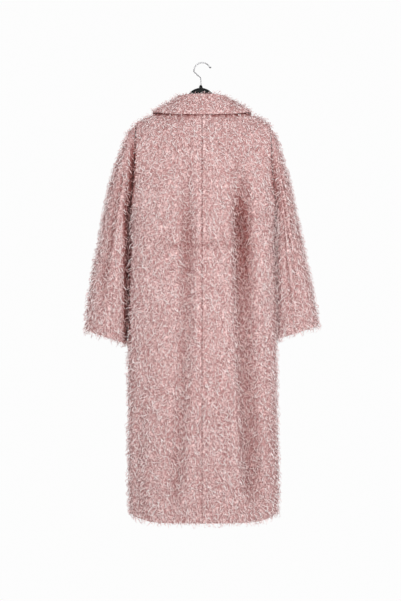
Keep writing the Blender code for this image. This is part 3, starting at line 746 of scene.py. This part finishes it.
def finer_places(count, edges):
    """Places between count lines of a grid, a few for each, and more at the ends."""
    inner = np.linspace(0, count - 1, (count - 1) * COLLAR_FINER + 1)
    near_end = [share for share in edges if share < 1 / COLLAR_FINER]
    return np.array(sorted({*inner, *near_end, *(count - 1 - s for s in near_end)}))


def collar_grids():
    """Points of the collar's upper and under faces, from its left end round to its right end."""
    stations = [(turn, LEFT) for turn in reversed(COLLAR[1:])] + [(turn, RIGHT) for turn in COLLAR]
    profiles = [collar_profile(turn, side) for turn, side in stations]
    grids = []
    for k in (0, 1):
        grid = np.array([p[k] for p in profiles])
        rows, columns = grid.shape[:2]
        grid = curve(np.arange(float(rows)), grid, finer_places(rows, COLLAR_ENDS))
        grid = grid.transpose(1, 0, 2)
        grid = curve(np.arange(float(columns)), grid, finer_places(columns, COLLAR_EDGES))
        grids.append(grid.transpose(1, 0, 2))
    return grids


# ---------------------------------------------------------------- nodes


def both_ways(operation):
    """Python's methods for an operation with the socket on its left, and on its right."""
    return (
        lambda left, right: left.reckoned(operation, left, right),
        lambda right, left: right.reckoned(operation, left, right),
    )


class Wire:
    """A socket of a node tree. Python's arithmetic on it adds Math or Vector Math nodes."""

    def __init__(self, nodes, socket):
        self.nodes, self.socket = nodes, socket

    def out(self, name):
        """Another output of the same node."""
        return Wire(self.nodes, pick(self.socket.node.outputs, name))

    def reckoned(self, operation, first, second):
        """The node for an operation, which is to scale for a vector times a number."""
        if operation == "MULTIPLY" and is_vector(first) != is_vector(second):
            vector, number = (first, second) if is_vector(first) else (second, first)
            values = {0: vector, 3: number}
            return self.nodes.add("ShaderNodeVectorMath", values, operation="SCALE")
        return self.nodes.maths(operation, first, second)

    __add__, __radd__ = both_ways("ADD")
    __sub__, __rsub__ = both_ways("SUBTRACT")
    __mul__, __rmul__ = both_ways("MULTIPLY")
    __truediv__, __rtruediv__ = both_ways("DIVIDE")
    __pow__, __rpow__ = both_ways("POWER")


def is_vector(value):
    return isinstance(value, Wire) and value.socket.type == "VECTOR"


def pick(sockets, key):
    """The socket with this number, or the one in use with this name."""
    if isinstance(key, int):
        return sockets[key]
    return next(s for s in sockets if s.enabled and s.name == key)


class Nodes:
    """Adds nodes to one tree, their settings first and then what goes into their sockets."""

    def __init__(self, tree):
        self.tree = tree

    def add(self, kind, values=None, output=None, stops=None, **settings):
        node = self.tree.nodes.new(kind)
        for name, value in settings.items():
            setattr(node, name, value)
        if stops:
            ramp = node.color_ramp
            while len(ramp.elements) < len(stops):
                ramp.elements.new(0.5)
            for held, (place, colour) in zip(ramp.elements, stops):
                held.position, held.color = place, (*colour, 1)
        for key, value in (values or {}).items():
            socket = pick(node.inputs, key)
            if isinstance(value, Wire):
                self.tree.links.new(value.socket, socket)
            else:
                socket.default_value = value
        if not len(node.outputs):
            return node
        if output is None:
            return Wire(self, next(s for s in node.outputs if s.enabled))
        return Wire(self, pick(node.outputs, output))

    def maths(self, operation, *values):
        """A Math node, or a Vector Math node if one of the values is a vector."""
        kind = "ShaderNodeVectorMath" if any(map(is_vector, values)) else "ShaderNodeMath"
        return self.add(kind, dict(enumerate(values)), operation=operation)

    def named(self, name, data_type="FLOAT"):
        """A value that is stored on the geometry."""
        return self.add("GeometryNodeInputNamedAttribute", {"Name": name}, data_type=data_type)

    def parts(self, vector):
        """The X, Y and Z of a vector."""
        wire = self.add("ShaderNodeSeparateXYZ", {0: vector})
        return [wire.out(axis) for axis in "XYZ"]


# ---------------------------------------------------------------- trees that grow the fur

# One layer of fur: the least distance between roots, the shortest and longest strand, its width
# and its rise off the cloth, how far in radians it heads and curls away from straight down, how
# pale it is at least, and its points.
Strands = namedtuple("Strands", "Spacing Shortest Longest Width Rise Spread Curl Tone Points")
UNDERFUR = Strands(0.0056, 0.007, 0.014, 0.0022, 0.0052, 2.4, 2.0, 0.0, 4)
LONG_FUR = Strands(0.0065, 0.011, 0.021, 0.0020, 0.0104, 1.1, 0.8, 0.5, 5)
LOOSE_FUR = Strands(0.018, 0.017, 0.027, 0.0019, 0.0092, 0.9, 1.0, 0.5, 7)
# At most so many strands of a layer would grow on a square metre, if they weren't kept apart.
MOST_STRANDS = 60000.0
# The random draws of a strand, a layer and a cloth piece start from these.
LOT_SEED, CHANCE_SEED, LAYER_SEED, FIRST_SEED = 11.0, 23.0, 50.0, 3
# How far the palest strand of a layer is above its least, and the least that one curls.
TONE_RANGE, LEAST_CURL = 0.5, 0.3
# A strand rises by these shares of its layer's rise, on an arc of these angles, from this far
# inside the cloth.
LEAST_RISE, LEAST_ARC, ARC_RANGE, ROOT_DEPTH = 0.35, 1.5, 1.5, 0.0006
# Its ends taper by this power, and its width is between these shares of its layer's.
TAPER, LEAST_WIDTH, WIDTH_RANGE = 0.55, 0.75, 0.5
STRAND_MERGE = 2e-6
VECTOR = "FLOAT_VECTOR"


def fur_tree_with(name, **inputs):
    """An empty tree that makes fur, with named inputs of the kinds that are given."""
    tree = bpy.data.node_groups.new(name, "GeometryNodeTree")
    for label, kind in inputs.items():
        tree.interface.new_socket(label, in_out="INPUT", socket_type="NodeSocket" + kind)
    tree.interface.new_socket("Fur", in_out="OUTPUT", socket_type="NodeSocketGeometry")
    n = Nodes(tree)
    return tree, n, n.add("NodeGroupInput")


def finished_tree(tree, n, mesh, given):
    """Ends a tree of fur with plain meshes and their material."""
    mesh = n.add("GeometryNodeRealizeInstances", {"Geometry": mesh})
    mesh = n.add("GeometryNodeSetMaterial", {"Geometry": mesh, "Material": given.out("Material")})
    n.add("NodeGroupOutput", {"Fur": mesh})
    return tree


def layer_tree():
    """Grows strands on a mesh, as many and as long as its own pile and reach attributes say."""
    sizes = {**dict.fromkeys(Strands._fields, "Float"), "Points": "Int"}
    tree, n, given = fur_tree_with(
        "fur strands", Cloth="Geometry", **sizes, Seed="Int", Material="Material"
    )

    def kept(geometry, name, value, data_type=VECTOR):
        values = {"Geometry": geometry, "Name": name, "Value": value}
        kind = "GeometryNodeStoreNamedAttribute"
        return n.add(kind, values, data_type=data_type, domain="POINT")

    def draws(offset):
        values = {"Min": (0, 0, 0), "Max": (1, 1, 1), "Seed": given.out("Seed") + offset}
        return n.add("FunctionNodeRandomValue", values, data_type=VECTOR)

    points = n.add(
        "GeometryNodeDistributePointsOnFaces",
        {
            "Mesh": given.out("Cloth"),
            "Distance Min": given.out("Spacing"),
            "Density Max": MOST_STRANDS,
            "Density Factor": n.named("pile"),
            "Seed": given.out("Seed"),
        },
        distribute_method="POISSON",
    )
    rooted = kept(points, "root", n.add("GeometryNodeInputPosition"))
    rooted = kept(rooted, "outward", points.out("Normal"))
    rooted = kept(rooted, "lot", draws(LOT_SEED))
    palest = n.add("ShaderNodeCombineXYZ", {"Z": given.out("Tone")})
    chances = n.maths("MULTIPLY", draws(CHANCE_SEED), (1.0, 1.0, TONE_RANGE))
    rooted = kept(rooted, "chance", chances + palest)
    line = n.add("GeometryNodeCurvePrimitiveLine", {"Start": (0, 0, 0), "End": (0, 0, 0.01)})
    line = n.add("GeometryNodeResampleCurve", {"Curve": line, "Count": given.out("Points")})
    strands = n.add("GeometryNodeInstanceOnPoints", {"Points": rooted, "Instance": line})
    strands = n.add("GeometryNodeRealizeInstances", {"Geometry": strands})

    size_lot, heading_lot, curl_lot = n.parts(n.named("lot", VECTOR))
    arc_chance, rise_chance, _ = n.parts(n.named("chance", VECTOR))
    outward = n.named("outward", VECTOR)
    along = n.add("GeometryNodeSplineParameter").out("Factor")
    downward = n.maths("NORMALIZE", outward * n.parts(outward)[2] + (0, 0, -1))
    sideways = n.maths("CROSS_PRODUCT", outward, downward)

    length = mix(given.out("Shortest"), given.out("Longest"), size_lot) * n.named("reach")
    heading = (heading_lot * 2.0 - 1.0) * given.out("Spread")
    curl = curl_lot * 2.0 - 1.0
    curl = n.maths("SIGN", curl) * LEAST_CURL + curl * given.out("Curl")
    turned_to = heading + curl * along
    ahead = length * (n.maths("SINE", turned_to) - n.maths("SINE", heading)) / curl
    aside = length * (n.maths("COSINE", heading) - n.maths("COSINE", turned_to)) / curl
    arc = n.maths("SINE", along * (LEAST_ARC + arc_chance * ARC_RANGE))
    height = given.out("Rise") * (LEAST_RISE + rise_chance) * arc - ROOT_DEPTH
    place = n.named("root", VECTOR) + downward * ahead + sideways * aside + outward * height
    strands = n.add("GeometryNodeSetPosition", {"Geometry": strands, "Position": place})

    taper = n.maths("SINE", along * math.pi) ** TAPER
    width = given.out("Width") * (LEAST_WIDTH + curl_lot * WIDTH_RANGE)
    values = {
        "Curve": kept(strands, "along", along, "FLOAT"),
        "Profile Curve": n.add(
            "GeometryNodeCurvePrimitiveCircle", {"Resolution": 3, "Radius": 0.5}, mode="RADIUS"
        ),
        "Scale": taper * width,
        "Fill Caps": True,
    }
    mesh = n.add("GeometryNodeCurveToMesh", values)
    mesh = n.add("GeometryNodeMergeByDistance", {"Geometry": mesh, "Distance": STRAND_MERGE})
    for name in ("root", "outward", "lot", "reach", "pile"):
        mesh = n.add("GeometryNodeRemoveAttribute", {"Geometry": mesh, "Name": name})
    mesh = n.add("GeometryNodeSetShadeSmooth", {"Geometry": mesh})
    return finished_tree(tree, n, mesh, given)


def coat_tree(layer):
    """The short underfur, the long strands and the few loosest ones of a cloth piece."""
    tree, n, given = fur_tree_with(
        "three layers of fur", Cloth="Geometry", Seed="Int", Material="Material"
    )
    same = {name: given.out(name) for name in ("Cloth", "Material")}
    coat = n.add("GeometryNodeJoinGeometry")
    for number, strands in enumerate((UNDERFUR, LONG_FUR, LOOSE_FUR)):
        seed = given.out("Seed") + LAYER_SEED * number
        values = {**same, "Seed": seed, **strands._asdict()}
        fur = n.add("GeometryNodeGroup", values, node_tree=layer)
        tree.links.new(fur.socket, coat.socket.node.inputs["Geometry"])
    return finished_tree(tree, n, coat, given)


def grown(name, cloth, tree, **values):
    """A plain mesh of the fur that the tree grows on a cloth piece."""
    carrier = placed(name + "_carrier", cloth.data.copy())
    modifier = carrier.modifiers.new("fur", "NODES")
    modifier.node_group = tree
    for item in tree.interface.items_tree:
        if item.in_out == "INPUT" and item.name in values:
            modifier[item.identifier] = values[item.name]
    data = plain_mesh(carrier)
    data.name = name
    return add(name, data, values["Material"])


# ---------------------------------------------------------------- materials

# Painted shade: what is left of a colour in the open, in the deepest fold and in the deepest
# crevice.
GROUND_PAINTED_SHADES = ((0.0, (1, 1, 1)), (0.5, (0.45, 0.25, 0.235)), (1.0, (0.10, 0.028, 0.024)))
STRAND_PAINTED_SHADES = ((0.0, (1, 1, 1)), (0.5, (0.76, 0.57, 0.55)), (1.0, (0.19, 0.06, 0.055)))
DEEP_STRAND, STRAND, PALE_STRAND = (0.40, 0.17, 0.165), (0.80, 0.54, 0.532), (0.98, 0.90, 0.89)
# Dark and light of each other material; the looped ground's dark is its own pink in painted shade.
LOOPS = (0.32, 0.13, 0.125), (0.95, 0.72, 0.705)
WARM_PATCH = (0.66, 0.38, 0.365)
KNIT = (0.36, 0.19, 0.18), (0.50, 0.30, 0.285)
BLACK = (0.003, 0.003, 0.0032), (0.008, 0.008, 0.0085)
CHROME = (0.26, 0.26, 0.265), (0.42, 0.42, 0.43)
PINK_RESIN = (0.30, 0.14, 0.14), (0.48, 0.27, 0.26)
SEWING_THREAD = (0.40, 0.22, 0.21), (0.62, 0.40, 0.38)
PALE_GREY = (0.80, 0.80, 0.79), (0.84, 0.84, 0.83)
# The ground's loops are this sharp and this high, with this much fuzz on them. From these
# heights on they are dark, with painted shade in the hollows, and light with their own pink, and
# at most this share of them is warm.
LOOP_SHARPNESS, LOOP_HEIGHT, LOOP_FUZZ = 6.0, 0.6, 0.7
LOOP_DARK, LOOP_LIGHT, WARM_LOW, WARM_HIGH, WARM_SHARE = 0.22, 0.85, 0.3, 0.7, 0.25
# How much a strand's own tone, the way to its tip and the clump that it grows in colour it, and
# where the middle and the palest colours lie.
TONE_WEIGHT, TIP_WEIGHT, CLUMP_WEIGHT, MIDDLE_TONE, PALE_TONE = 0.85, 0.15, 1.1, 0.42, 0.9


class Finish(Nodes):
    """A new material: its nodes, and its Principled shader with what is fixed on it."""

    def __init__(self, name, fixed):
        self.made = bpy.data.materials.new(name)
        self.made.use_nodes = True
        super().__init__(self.made.node_tree)
        self.shader = self.tree.nodes["Principled BSDF"]
        for label, value in fixed.items():
            self.shader.inputs[label].default_value = value
        self.place = self.add("ShaderNodeTexCoord", output="Object")

    def painted(self, name):
        """A value that is stored on the mesh."""
        return self.add("ShaderNodeAttribute", attribute_name=name)

    def noise(self, **values):
        return self.add("ShaderNodeTexNoise", {"Vector": self.place, **values})

    def wave(self, **values):
        return self.add("ShaderNodeTexWave", {"Vector": self.place, **values}, "Fac")

    def spread(self, value, low, high):
        """A value spread out from 0 at its low to 1 at its high."""
        values = {"Value": value, "From Min": low, "From Max": high}
        return self.add("ShaderNodeMapRange", values)

    def mixed(self, factor, first, second, blend_type="MIX"):
        values = {"Factor": factor, "A": first, "B": second}
        for key in "AB":
            if not isinstance(values[key], Wire):
                values[key] = (*values[key], 1)
        return self.add("ShaderNodeMix", values, data_type="RGBA", blend_type=blend_type)

    def with_painted_shade(self, colour, shades):
        """A colour darkened by the painted shade stored on the mesh: in folds, creases and
        crevices, along the back seam and under the collar's edge.
        """
        shade = self.add("ShaderNodeValToRGB", {0: self.painted("sunk").out("Fac")}, stops=shades)
        return self.mixed(1.0, colour, shade, "MULTIPLY")

    def roughen(self, value, least, more):
        self.feed("Roughness", value * more + least)

    def bump(self, height, strength, distance):
        values = {"Height": height, "Strength": strength, "Distance": distance}
        self.feed("Normal", self.add("ShaderNodeBump", values))

    def feed(self, label, value):
        self.tree.links.new(value.socket, self.shader.inputs[label])


def base_finish():
    """The looped ground of the cloth, which shows between the strands, with painted shade in the
    hollows between its loops and in folds, creases and crevices.
    """
    f = Finish("looped ground", {"Roughness": 0.9, "Specular IOR Level": 0.2})
    curls = f.noise(Scale=120.0, Detail=1.0, Roughness=0.5, Distortion=0.6)
    loops = 1.0 - f.maths("ABSOLUTE", curls * 2.0 - 1.0) * LOOP_SHARPNESS
    fuzz = f.noise(Scale=420.0, Detail=2.0) * LOOP_FUZZ
    height = f.maths("MAXIMUM", loops, 0.0) * LOOP_HEIGHT + fuzz
    # Painted shade: the lower a loop lies, the darker its colour.
    colour = f.mixed(f.spread(height, LOOP_DARK, LOOP_LIGHT), *LOOPS)
    warm = f.spread(f.noise(Scale=14.0, Detail=2.0), WARM_LOW, WARM_HIGH)
    colour = f.mixed(warm * WARM_SHARE, colour, WARM_PATCH)
    # Painted shade in folds, creases and crevices, along the back seam and under the collar.
    f.feed("Base Color", f.with_painted_shade(colour, GROUND_PAINTED_SHADES))
    f.bump(height, strength=0.8, distance=0.003)
    return f.made


def backing_finish():
    """The plain knitted inside of the cloth."""
    f = Finish("knitted backing", {"Roughness": 0.92})
    fuzz = f.noise(Scale=600.0, Detail=2.0)
    f.feed("Base Color", f.mixed(fuzz, *KNIT))
    wales = f.wave(Scale=160.0, Distortion=1.5)
    f.bump(wales + fuzz * 0.5, strength=0.5, distance=0.001)
    return f.made


def strand_finish():
    """The glossy curled fibres, each a little paler or deeper than the next."""
    fixed = {
        "Roughness": 0.38,
        "Specular IOR Level": 0.4,
        "Sheen Weight": 0.10,
        "Sheen Roughness": 0.4,
        "Sheen Tint": (1.0, 0.80, 0.78, 1),
    }
    f = Finish("curled fibres", fixed)
    pale = f.parts(f.painted("chance").out("Vector"))[2]
    along = f.painted("along").out("Fac")
    clumps = f.noise(Scale=115.0, Detail=1.0)
    shade = pale * TONE_WEIGHT + along * TIP_WEIGHT + (clumps - 0.5) * CLUMP_WEIGHT
    stops = ((0.0, DEEP_STRAND), (MIDDLE_TONE, STRAND), (PALE_TONE, PALE_STRAND))
    colour = f.add("ShaderNodeValToRGB", {0: shade}, stops=stops)
    # Painted shade in folds, creases and crevices, along the back seam and under the collar.
    f.feed("Base Color", f.with_painted_shade(colour, STRAND_PAINTED_SHADES))
    return f.made


def hanger_finish():
    f = Finish("satin black", {"Specular IOR Level": 0.14})
    grain = f.noise(Scale=260.0, Detail=3.0)
    f.feed("Base Color", f.mixed(grain, *BLACK))
    f.roughen(grain, least=0.42, more=0.16)
    f.bump(grain, strength=0.15, distance=0.0004)
    return f.made


def hook_finish():
    f = Finish("chromed wire", {"Metallic": 1.0})
    wear = f.noise(Scale=180.0, Detail=4.0)
    f.feed("Base Color", f.mixed(wear, *CHROME))
    f.roughen(wear, least=0.10, more=0.14)
    return f.made


def button_finish():
    f = Finish("pink resin", {"Coat Weight": 0.4})
    swirl = f.noise(Scale=90.0, Detail=2.0, Distortion=1.2)
    f.feed("Base Color", f.mixed(swirl, *PINK_RESIN))
    f.roughen(swirl, least=0.18, more=0.15)
    return f.made


def thread_finish():
    f = Finish("sewing thread", {"Roughness": 0.7})
    f.feed("Base Color", f.mixed(f.wave(Scale=900.0, Distortion=0.6), *SEWING_THREAD))
    return f.made


GROUND, BACKING, FIBRES = base_finish(), backing_finish(), strand_finish()
SATIN, CHROMED, RESIN, THREAD = hanger_finish(), hook_finish(), button_finish(), thread_finish()

# ---------------------------------------------------------------- cloth pieces

upper_collar, under_collar = collar_grids()
collar_points = under_collar.reshape(-1, 3)
button_places = np.array([
    body_point(FRONT, np.array(0.0), np.array(z + rise))
    for z in BUTTON_HEIGHTS
    for rise in (0.0, ABOVE_BUTTON)
])

shells = {}


def add_panel(name, face, side, start):
    points, normals = panel_grid(face, side, start)
    x, z = points[..., 0], points[..., 2]
    # Painted shade in the folds.
    sunk = np.minimum(fold_depth(face, x, z) / FOLD_SHADE_DEPTH, 1.0) ** FOLD_SHADE_POWER
    bare = near(points, collar_points, COLLAR_BARE)
    # Painted shade just under the collar's edge.
    under = near(points, collar_points, COLLAR_LINE)
    crease = line = 0.0
    if face == BACK:
        crease = waist_crease(points)
        # Painted shade along the centre-back seam, less towards the hem.
        line = np.clip(1 - np.abs(x) / SEAM_LINE, 0, 1)
        line = line * mix(1.0, SEAM_FOOT_SHARE, ease((SEAM_FADE_Z - z) / SEAM_FADE_SPAN))
    else:
        bare |= near(points, button_places, BUTTON_RADIUS + BUTTON_BARE)
        if side == LEFT:
            bare |= x > LAP_BARE - LAP
    data = cloth_shell(
        name + "_cloth",
        points,
        normals,
        pile=(1.0 - bare) * (1 - np.minimum(SEAM_THINNING * line, SEAM_THINNEST)),
        sunk=np.maximum(sunk, WAIST_CREASE_SHADE * crease),
        painted_line_shade=np.maximum(SEAM_LINE_SHADE * line, COLLAR_LINE_SHADE * under),
        press=CREASE_DEPTH * crease,
        head_start=SHOULDER_HEAD_START,
    )
    shells[name] = add(name + "_cloth", data, GROUND, BACKING)


def add_sleeve(side, word):
    sleeve = sleeve_grid(side)
    half = TOP_SLEEVE_STEPS // 2
    for part, first, steps in (("top", -half, 2 * half), ("under", half, SLEEVE_STEPS - 2 * half)):
        points, normals, crease_painted_shade = with_edges(*sleeve_part(*sleeve, first, steps))
        name = f"sleeve_{word}_{part}"
        data = cloth_shell(name + "_cloth", points, unit(normals), sunk=crease_painted_shade[..., 0])
        shells[name] = add(name + "_cloth", data, GROUND, BACKING)


def add_collar():
    _, distance = edge_distance(upper_collar)
    roll = roll_in(distance)
    through = unit(under_collar - upper_collar)
    outer = upper_collar + through * (COLLAR_PILE_DEPTH + roll)[..., None]
    inner = under_collar - through * (COLLAR_INNER_ROLL * roll)[..., None]
    reach = mix(EDGE_REACH, COLLAR_REACH, ease(distance / REACH_SPAN))
    pile = mix(EDGE_PILE, 1.0, ease(distance / EDGE_PILE_SPAN))
    data = shell_mesh("collar_cloth", outer, inner, pile=pile, reach=reach, sunk=0.0)
    shells["collar"] = add("collar_cloth", data, GROUND, GROUND)


add_panel("back_left", BACK, LEFT, SEAM / 2)
add_panel("back_right", BACK, RIGHT, SEAM / 2)
add_panel("front_left", FRONT, LEFT, -LAP)
add_panel("front_right", FRONT, RIGHT, -LAP)
add_sleeve(LEFT, "left")
add_sleeve(RIGHT, "right")
add_collar()

# ---------------------------------------------------------------- fur

COAT = coat_tree(layer_tree())
furs = {}
for number, (name, shell) in enumerate(shells.items()):
    furs[name] = grown(name + "_fur", shell, COAT, Seed=number + FIRST_SEED, Material=FIBRES)

for cut in CUTS:
    shell, fur = shells[cut.piece], furs[cut.piece]
    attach(shell, "root")
    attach(fur, "root")
    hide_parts(cut.piece)

# ---------------------------------------------------------------- buttons

# A button's outline, from its middle over its rim and back, in radii and in thicknesses.
BUTTON_OUTLINE = (
    (0, 0.62), (0.58, 0.62), (0.68, 0.66), (0.76, 0.86), (0.83, 0.98), (0.90, 1),
    (0.96, 0.90), (1, 0.62), (1, 0.45), (0.96, 0.22), (0.86, 0), (0, 0),
)
BUTTON_STEPS, SHARP_ANGLE = 48, math.radians(40)
HOLE_RADIUS, HOLE_REACH, HOLE_STEPS = 0.0011, 0.0026, 16
DRILL_LENGTH = 4 * BUTTON_THICKNESS
# Pairs of stitches lie this far off the middle. They cross the button at these heights, in
# thicknesses, and their ends sink this deep into the holes.
STITCH_RADIUS, STITCH_ASIDE, STITCH_POINTS, STITCH_FINENESS = 0.00030, 0.00035, 9, 1
STITCH_SEAT, STITCH_BULGE, STITCH_SINK = 0.66, 0.16, 0.0012
TUBE_MERGE = 1e-6


def lathe(profile, steps):
    """A closed shape turned round Z from (radius, height) points, which start and end on it."""
    shape = bmesh.new()
    turns = [2 * math.pi * k / steps for k in range(steps)]
    rings = []
    for radius, height in profile:
        places = [(radius * math.cos(t), radius * math.sin(t), height) for t in turns]
        rings.append([shape.verts.new(place) for place in (places if radius else places[:1])])
    for first, second in zip(rings, rings[1:]):
        for k in range(steps):
            ring = [first[k % len(first)], first[(k + 1) % len(first)]]
            ring += [second[(k + 1) % len(second)], second[k % len(second)]]
            shape.faces.new(list(dict.fromkeys(ring)))
    bmesh.ops.recalc_face_normals(shape, faces=shape.faces[:])
    return shape


def button_mesh():
    """A button turned from its outline, with four holes drilled through it."""
    outline = [(r * BUTTON_RADIUS, z * BUTTON_THICKNESS) for r, z in BUTTON_OUTLINE]
    blank = placed("button_blank", mesh_of("button", lathe(outline, BUTTON_STEPS)))
    drills = bmesh.new()
    for k in range(4):
        turn = math.pi / 4 + k * math.pi / 2
        made = bmesh.ops.create_cone(
            drills,
            cap_ends=True,
            segments=HOLE_STEPS,
            radius1=HOLE_RADIUS,
            radius2=HOLE_RADIUS,
            depth=DRILL_LENGTH,
        )
        shift = Vector((HOLE_REACH * math.cos(turn), HOLE_REACH * math.sin(turn), 0))
        bmesh.ops.translate(drills, verts=made["verts"], vec=shift)
    drill = placed("drills", mesh_of("drills", drills))
    cut = blank.modifiers.new("holes", "BOOLEAN")
    cut.object, cut.operation, cut.solver = drill, "DIFFERENCE", "EXACT"
    data = plain_mesh(blank)
    bpy.data.objects.remove(drill)
    return data


def tube(name, route, radius, fineness, swells=()):
    """A closed mesh of a wire or thread through a route's points, with its end's swells."""
    data = bpy.data.curves.new(name, "CURVE")
    data.dimensions, data.twist_mode = "3D", "MINIMUM"
    spline = data.splines.new("POLY")
    spline.points.add(len(route) - 1)
    for held, point in zip(spline.points, route):
        held.co = (*point, 1)
    for back, swell in enumerate(swells):
        spline.points[-1 - back].radius = swell
    data.bevel_depth, data.bevel_resolution, data.use_fill_caps = radius, fineness, True
    made = plain_mesh(placed(name, data))
    made.materials.clear()
    return turned_outwards(made, TUBE_MERGE)


def thread_mesh():
    """Crossed stitches through the four holes of a button."""
    stitches = bmesh.new()
    for turn in (math.pi / 4, 3 * math.pi / 4):
        across = np.array([math.cos(turn), math.sin(turn), 0])
        for offset in (-STITCH_ASIDE, STITCH_ASIDE):
            aside = np.array([-across[1], across[0], 0]) * offset
            route = []
            for s in np.linspace(-1, 1, STITCH_POINTS):
                height = BUTTON_THICKNESS * (STITCH_SEAT + STITCH_BULGE * (1 - s**4))
                height -= STITCH_SINK if abs(s) == 1 else 0
                route.append(across * s * HOLE_REACH + aside + (0, 0, height))
            stitches.from_mesh(tube("stitch", route, STITCH_RADIUS, STITCH_FINENESS))
    return mesh_of("button_thread", stitches)


def add_buttons():
    button, thread = button_mesh(), thread_mesh()
    for number, z in enumerate(BUTTON_HEIGHTS, start=1):
        place = np.array(0.0), np.array(z)
        normal = body_normal(FRONT, *place)
        turn = Vector((0, 0, 1)).rotation_difference(Vector(normal)).to_matrix().to_4x4()
        turn.translation = body_point(FRONT, *place) + normal * (SEAM + LAYER / 2)
        made = {}
        for label, data, finish in (("resin", button, RESIN), ("thread", thread, THREAD)):
            piece = data.copy()
            piece.transform(turn)
            piece.shade_smooth()
            piece.set_sharp_from_angle(angle=SHARP_ANGLE)
            made[label] = add(f"button_{number}_{label}", piece, finish)
            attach(made[label], "root")
        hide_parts(f"button_{number}")


add_buttons()

# ---------------------------------------------------------------- hanger and hook

HOOK_FINER, HOOK_FINENESS = 4, 5
# The wire's thickness at its end, from the tip back, in its own thicknesses.
TIP_SWELLS = (0.55, 1.0, 1.3, 1.48, 1.5, 1.42, 1.3, 1.18, 1.08)


def hook_route():
    """Points of the wire, from inside the hanger round the hook to its tip."""
    centre = np.array([HOOK_CENTRE_X, WIRE / 2 - HOOK_RADIUS])
    stem = [(STEM_X, z) for z in np.linspace(STEM_FOOT_Z, STEM_TOP_Z, STEM_STEPS)]
    arc = [
        tuple(centre + HOOK_RADIUS * np.array([math.cos(angle), math.sin(angle)]))
        for angle in np.radians(np.linspace(HOOK_START, HOOK_END, HOOK_STEPS))
    ]
    return np.array([(x, 0, z) for x, z in (*stem, *HOOK_BEND, *arc, *HOOK_TIP)])


def add_hook():
    coarse = hook_route()
    places = np.arange(float(len(coarse)))
    route = curve(places, coarse, np.linspace(0, places[-1], HOOK_FINER * len(coarse)))
    wire = tube("hook_wire", route, WIRE / 2, HOOK_FINENESS, TIP_SWELLS)
    hook = add("hook_wire", wire, CHROMED)
    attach(hook, "root")
    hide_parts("hook")


add_hook()
for name in ("hanger", "hook_ferrule"):
    for held in frame["nodes"][name].material_slots:
        held.material = SATIN

# ---------------------------------------------------------------- light, floor and camera

CAMERA_PLACE, SENSOR_HEIGHT, LENS = (-0.0043, -4.0, -0.676), 36.0, 84.07
FLOOR_Z, FLOOR_SIZE, FLOOR_STEPS = -1.92, 1.6, 8
# The light of the room on the coat, and how much brighter the backdrop looks.
ROOM_LIGHT, BACKDROP_MORE = 0.61, 0.37
LAMP_AIM = (0, 0, -0.6)
LAMPS = table(
    "name place size power colour",
    ("key", (0.30, -1.9, -0.35), 1.2, 32.0, (1.0, 0.99, 0.99)),
    ("back_fill", (-0.6, 2.3, -0.10), 1.6, 40.0, (1, 1, 1)),
)


def add_camera():
    data = bpy.data.cameras.new("camera")
    data.sensor_fit, data.sensor_height, data.lens = "VERTICAL", SENSOR_HEIGHT, LENS
    camera = placed("camera", data)
    camera.location = CAMERA_PLACE
    camera.rotation_euler = (math.pi / 2, 0, 0)
    bpy.context.scene.camera = camera


def add_world():
    world = bpy.data.worlds.new("white studio")
    world.use_nodes = True
    n = Nodes(world.node_tree)
    background = world.node_tree.nodes["Background"]
    seen = n.add("ShaderNodeLightPath", output="Is Camera Ray")
    strength = seen * BACKDROP_MORE + ROOM_LIGHT
    n.tree.links.new(strength.socket, background.inputs["Strength"])
    background.inputs["Color"].default_value = (1.0, 1.0, 1.0, 1)
    bpy.context.scene.world = world


def add_floor():
    shape = bmesh.new()
    bmesh.ops.create_grid(
        shape, x_segments=FLOOR_STEPS, y_segments=FLOOR_STEPS, size=FLOOR_SIZE
    )
    bmesh.ops.translate(shape, verts=shape.verts[:], vec=(0, 0, FLOOR_Z))
    f = Finish("pale floor", {"Roughness": 0.7})
    f.feed("Base Color", f.mixed(f.noise(Scale=3.0, Detail=2.0), *PALE_GREY))
    add("floor", mesh_of("floor", shape), f.made)


def add_lamps():
    for lamp in LAMPS:
        data = bpy.data.lights.new(lamp.name, "AREA")
        data.size, data.energy, data.color = lamp.size, lamp.power, lamp.colour
        held = placed(lamp.name, data)
        held.location = lamp.place
        aim = Vector(LAMP_AIM) - Vector(lamp.place)
        held.rotation_euler = aim.to_track_quat("-Z", "Y").to_euler()


add_camera()
add_world()
add_floor()
add_lamps()
bpy.context.scene.view_settings.view_transform = "Standard"
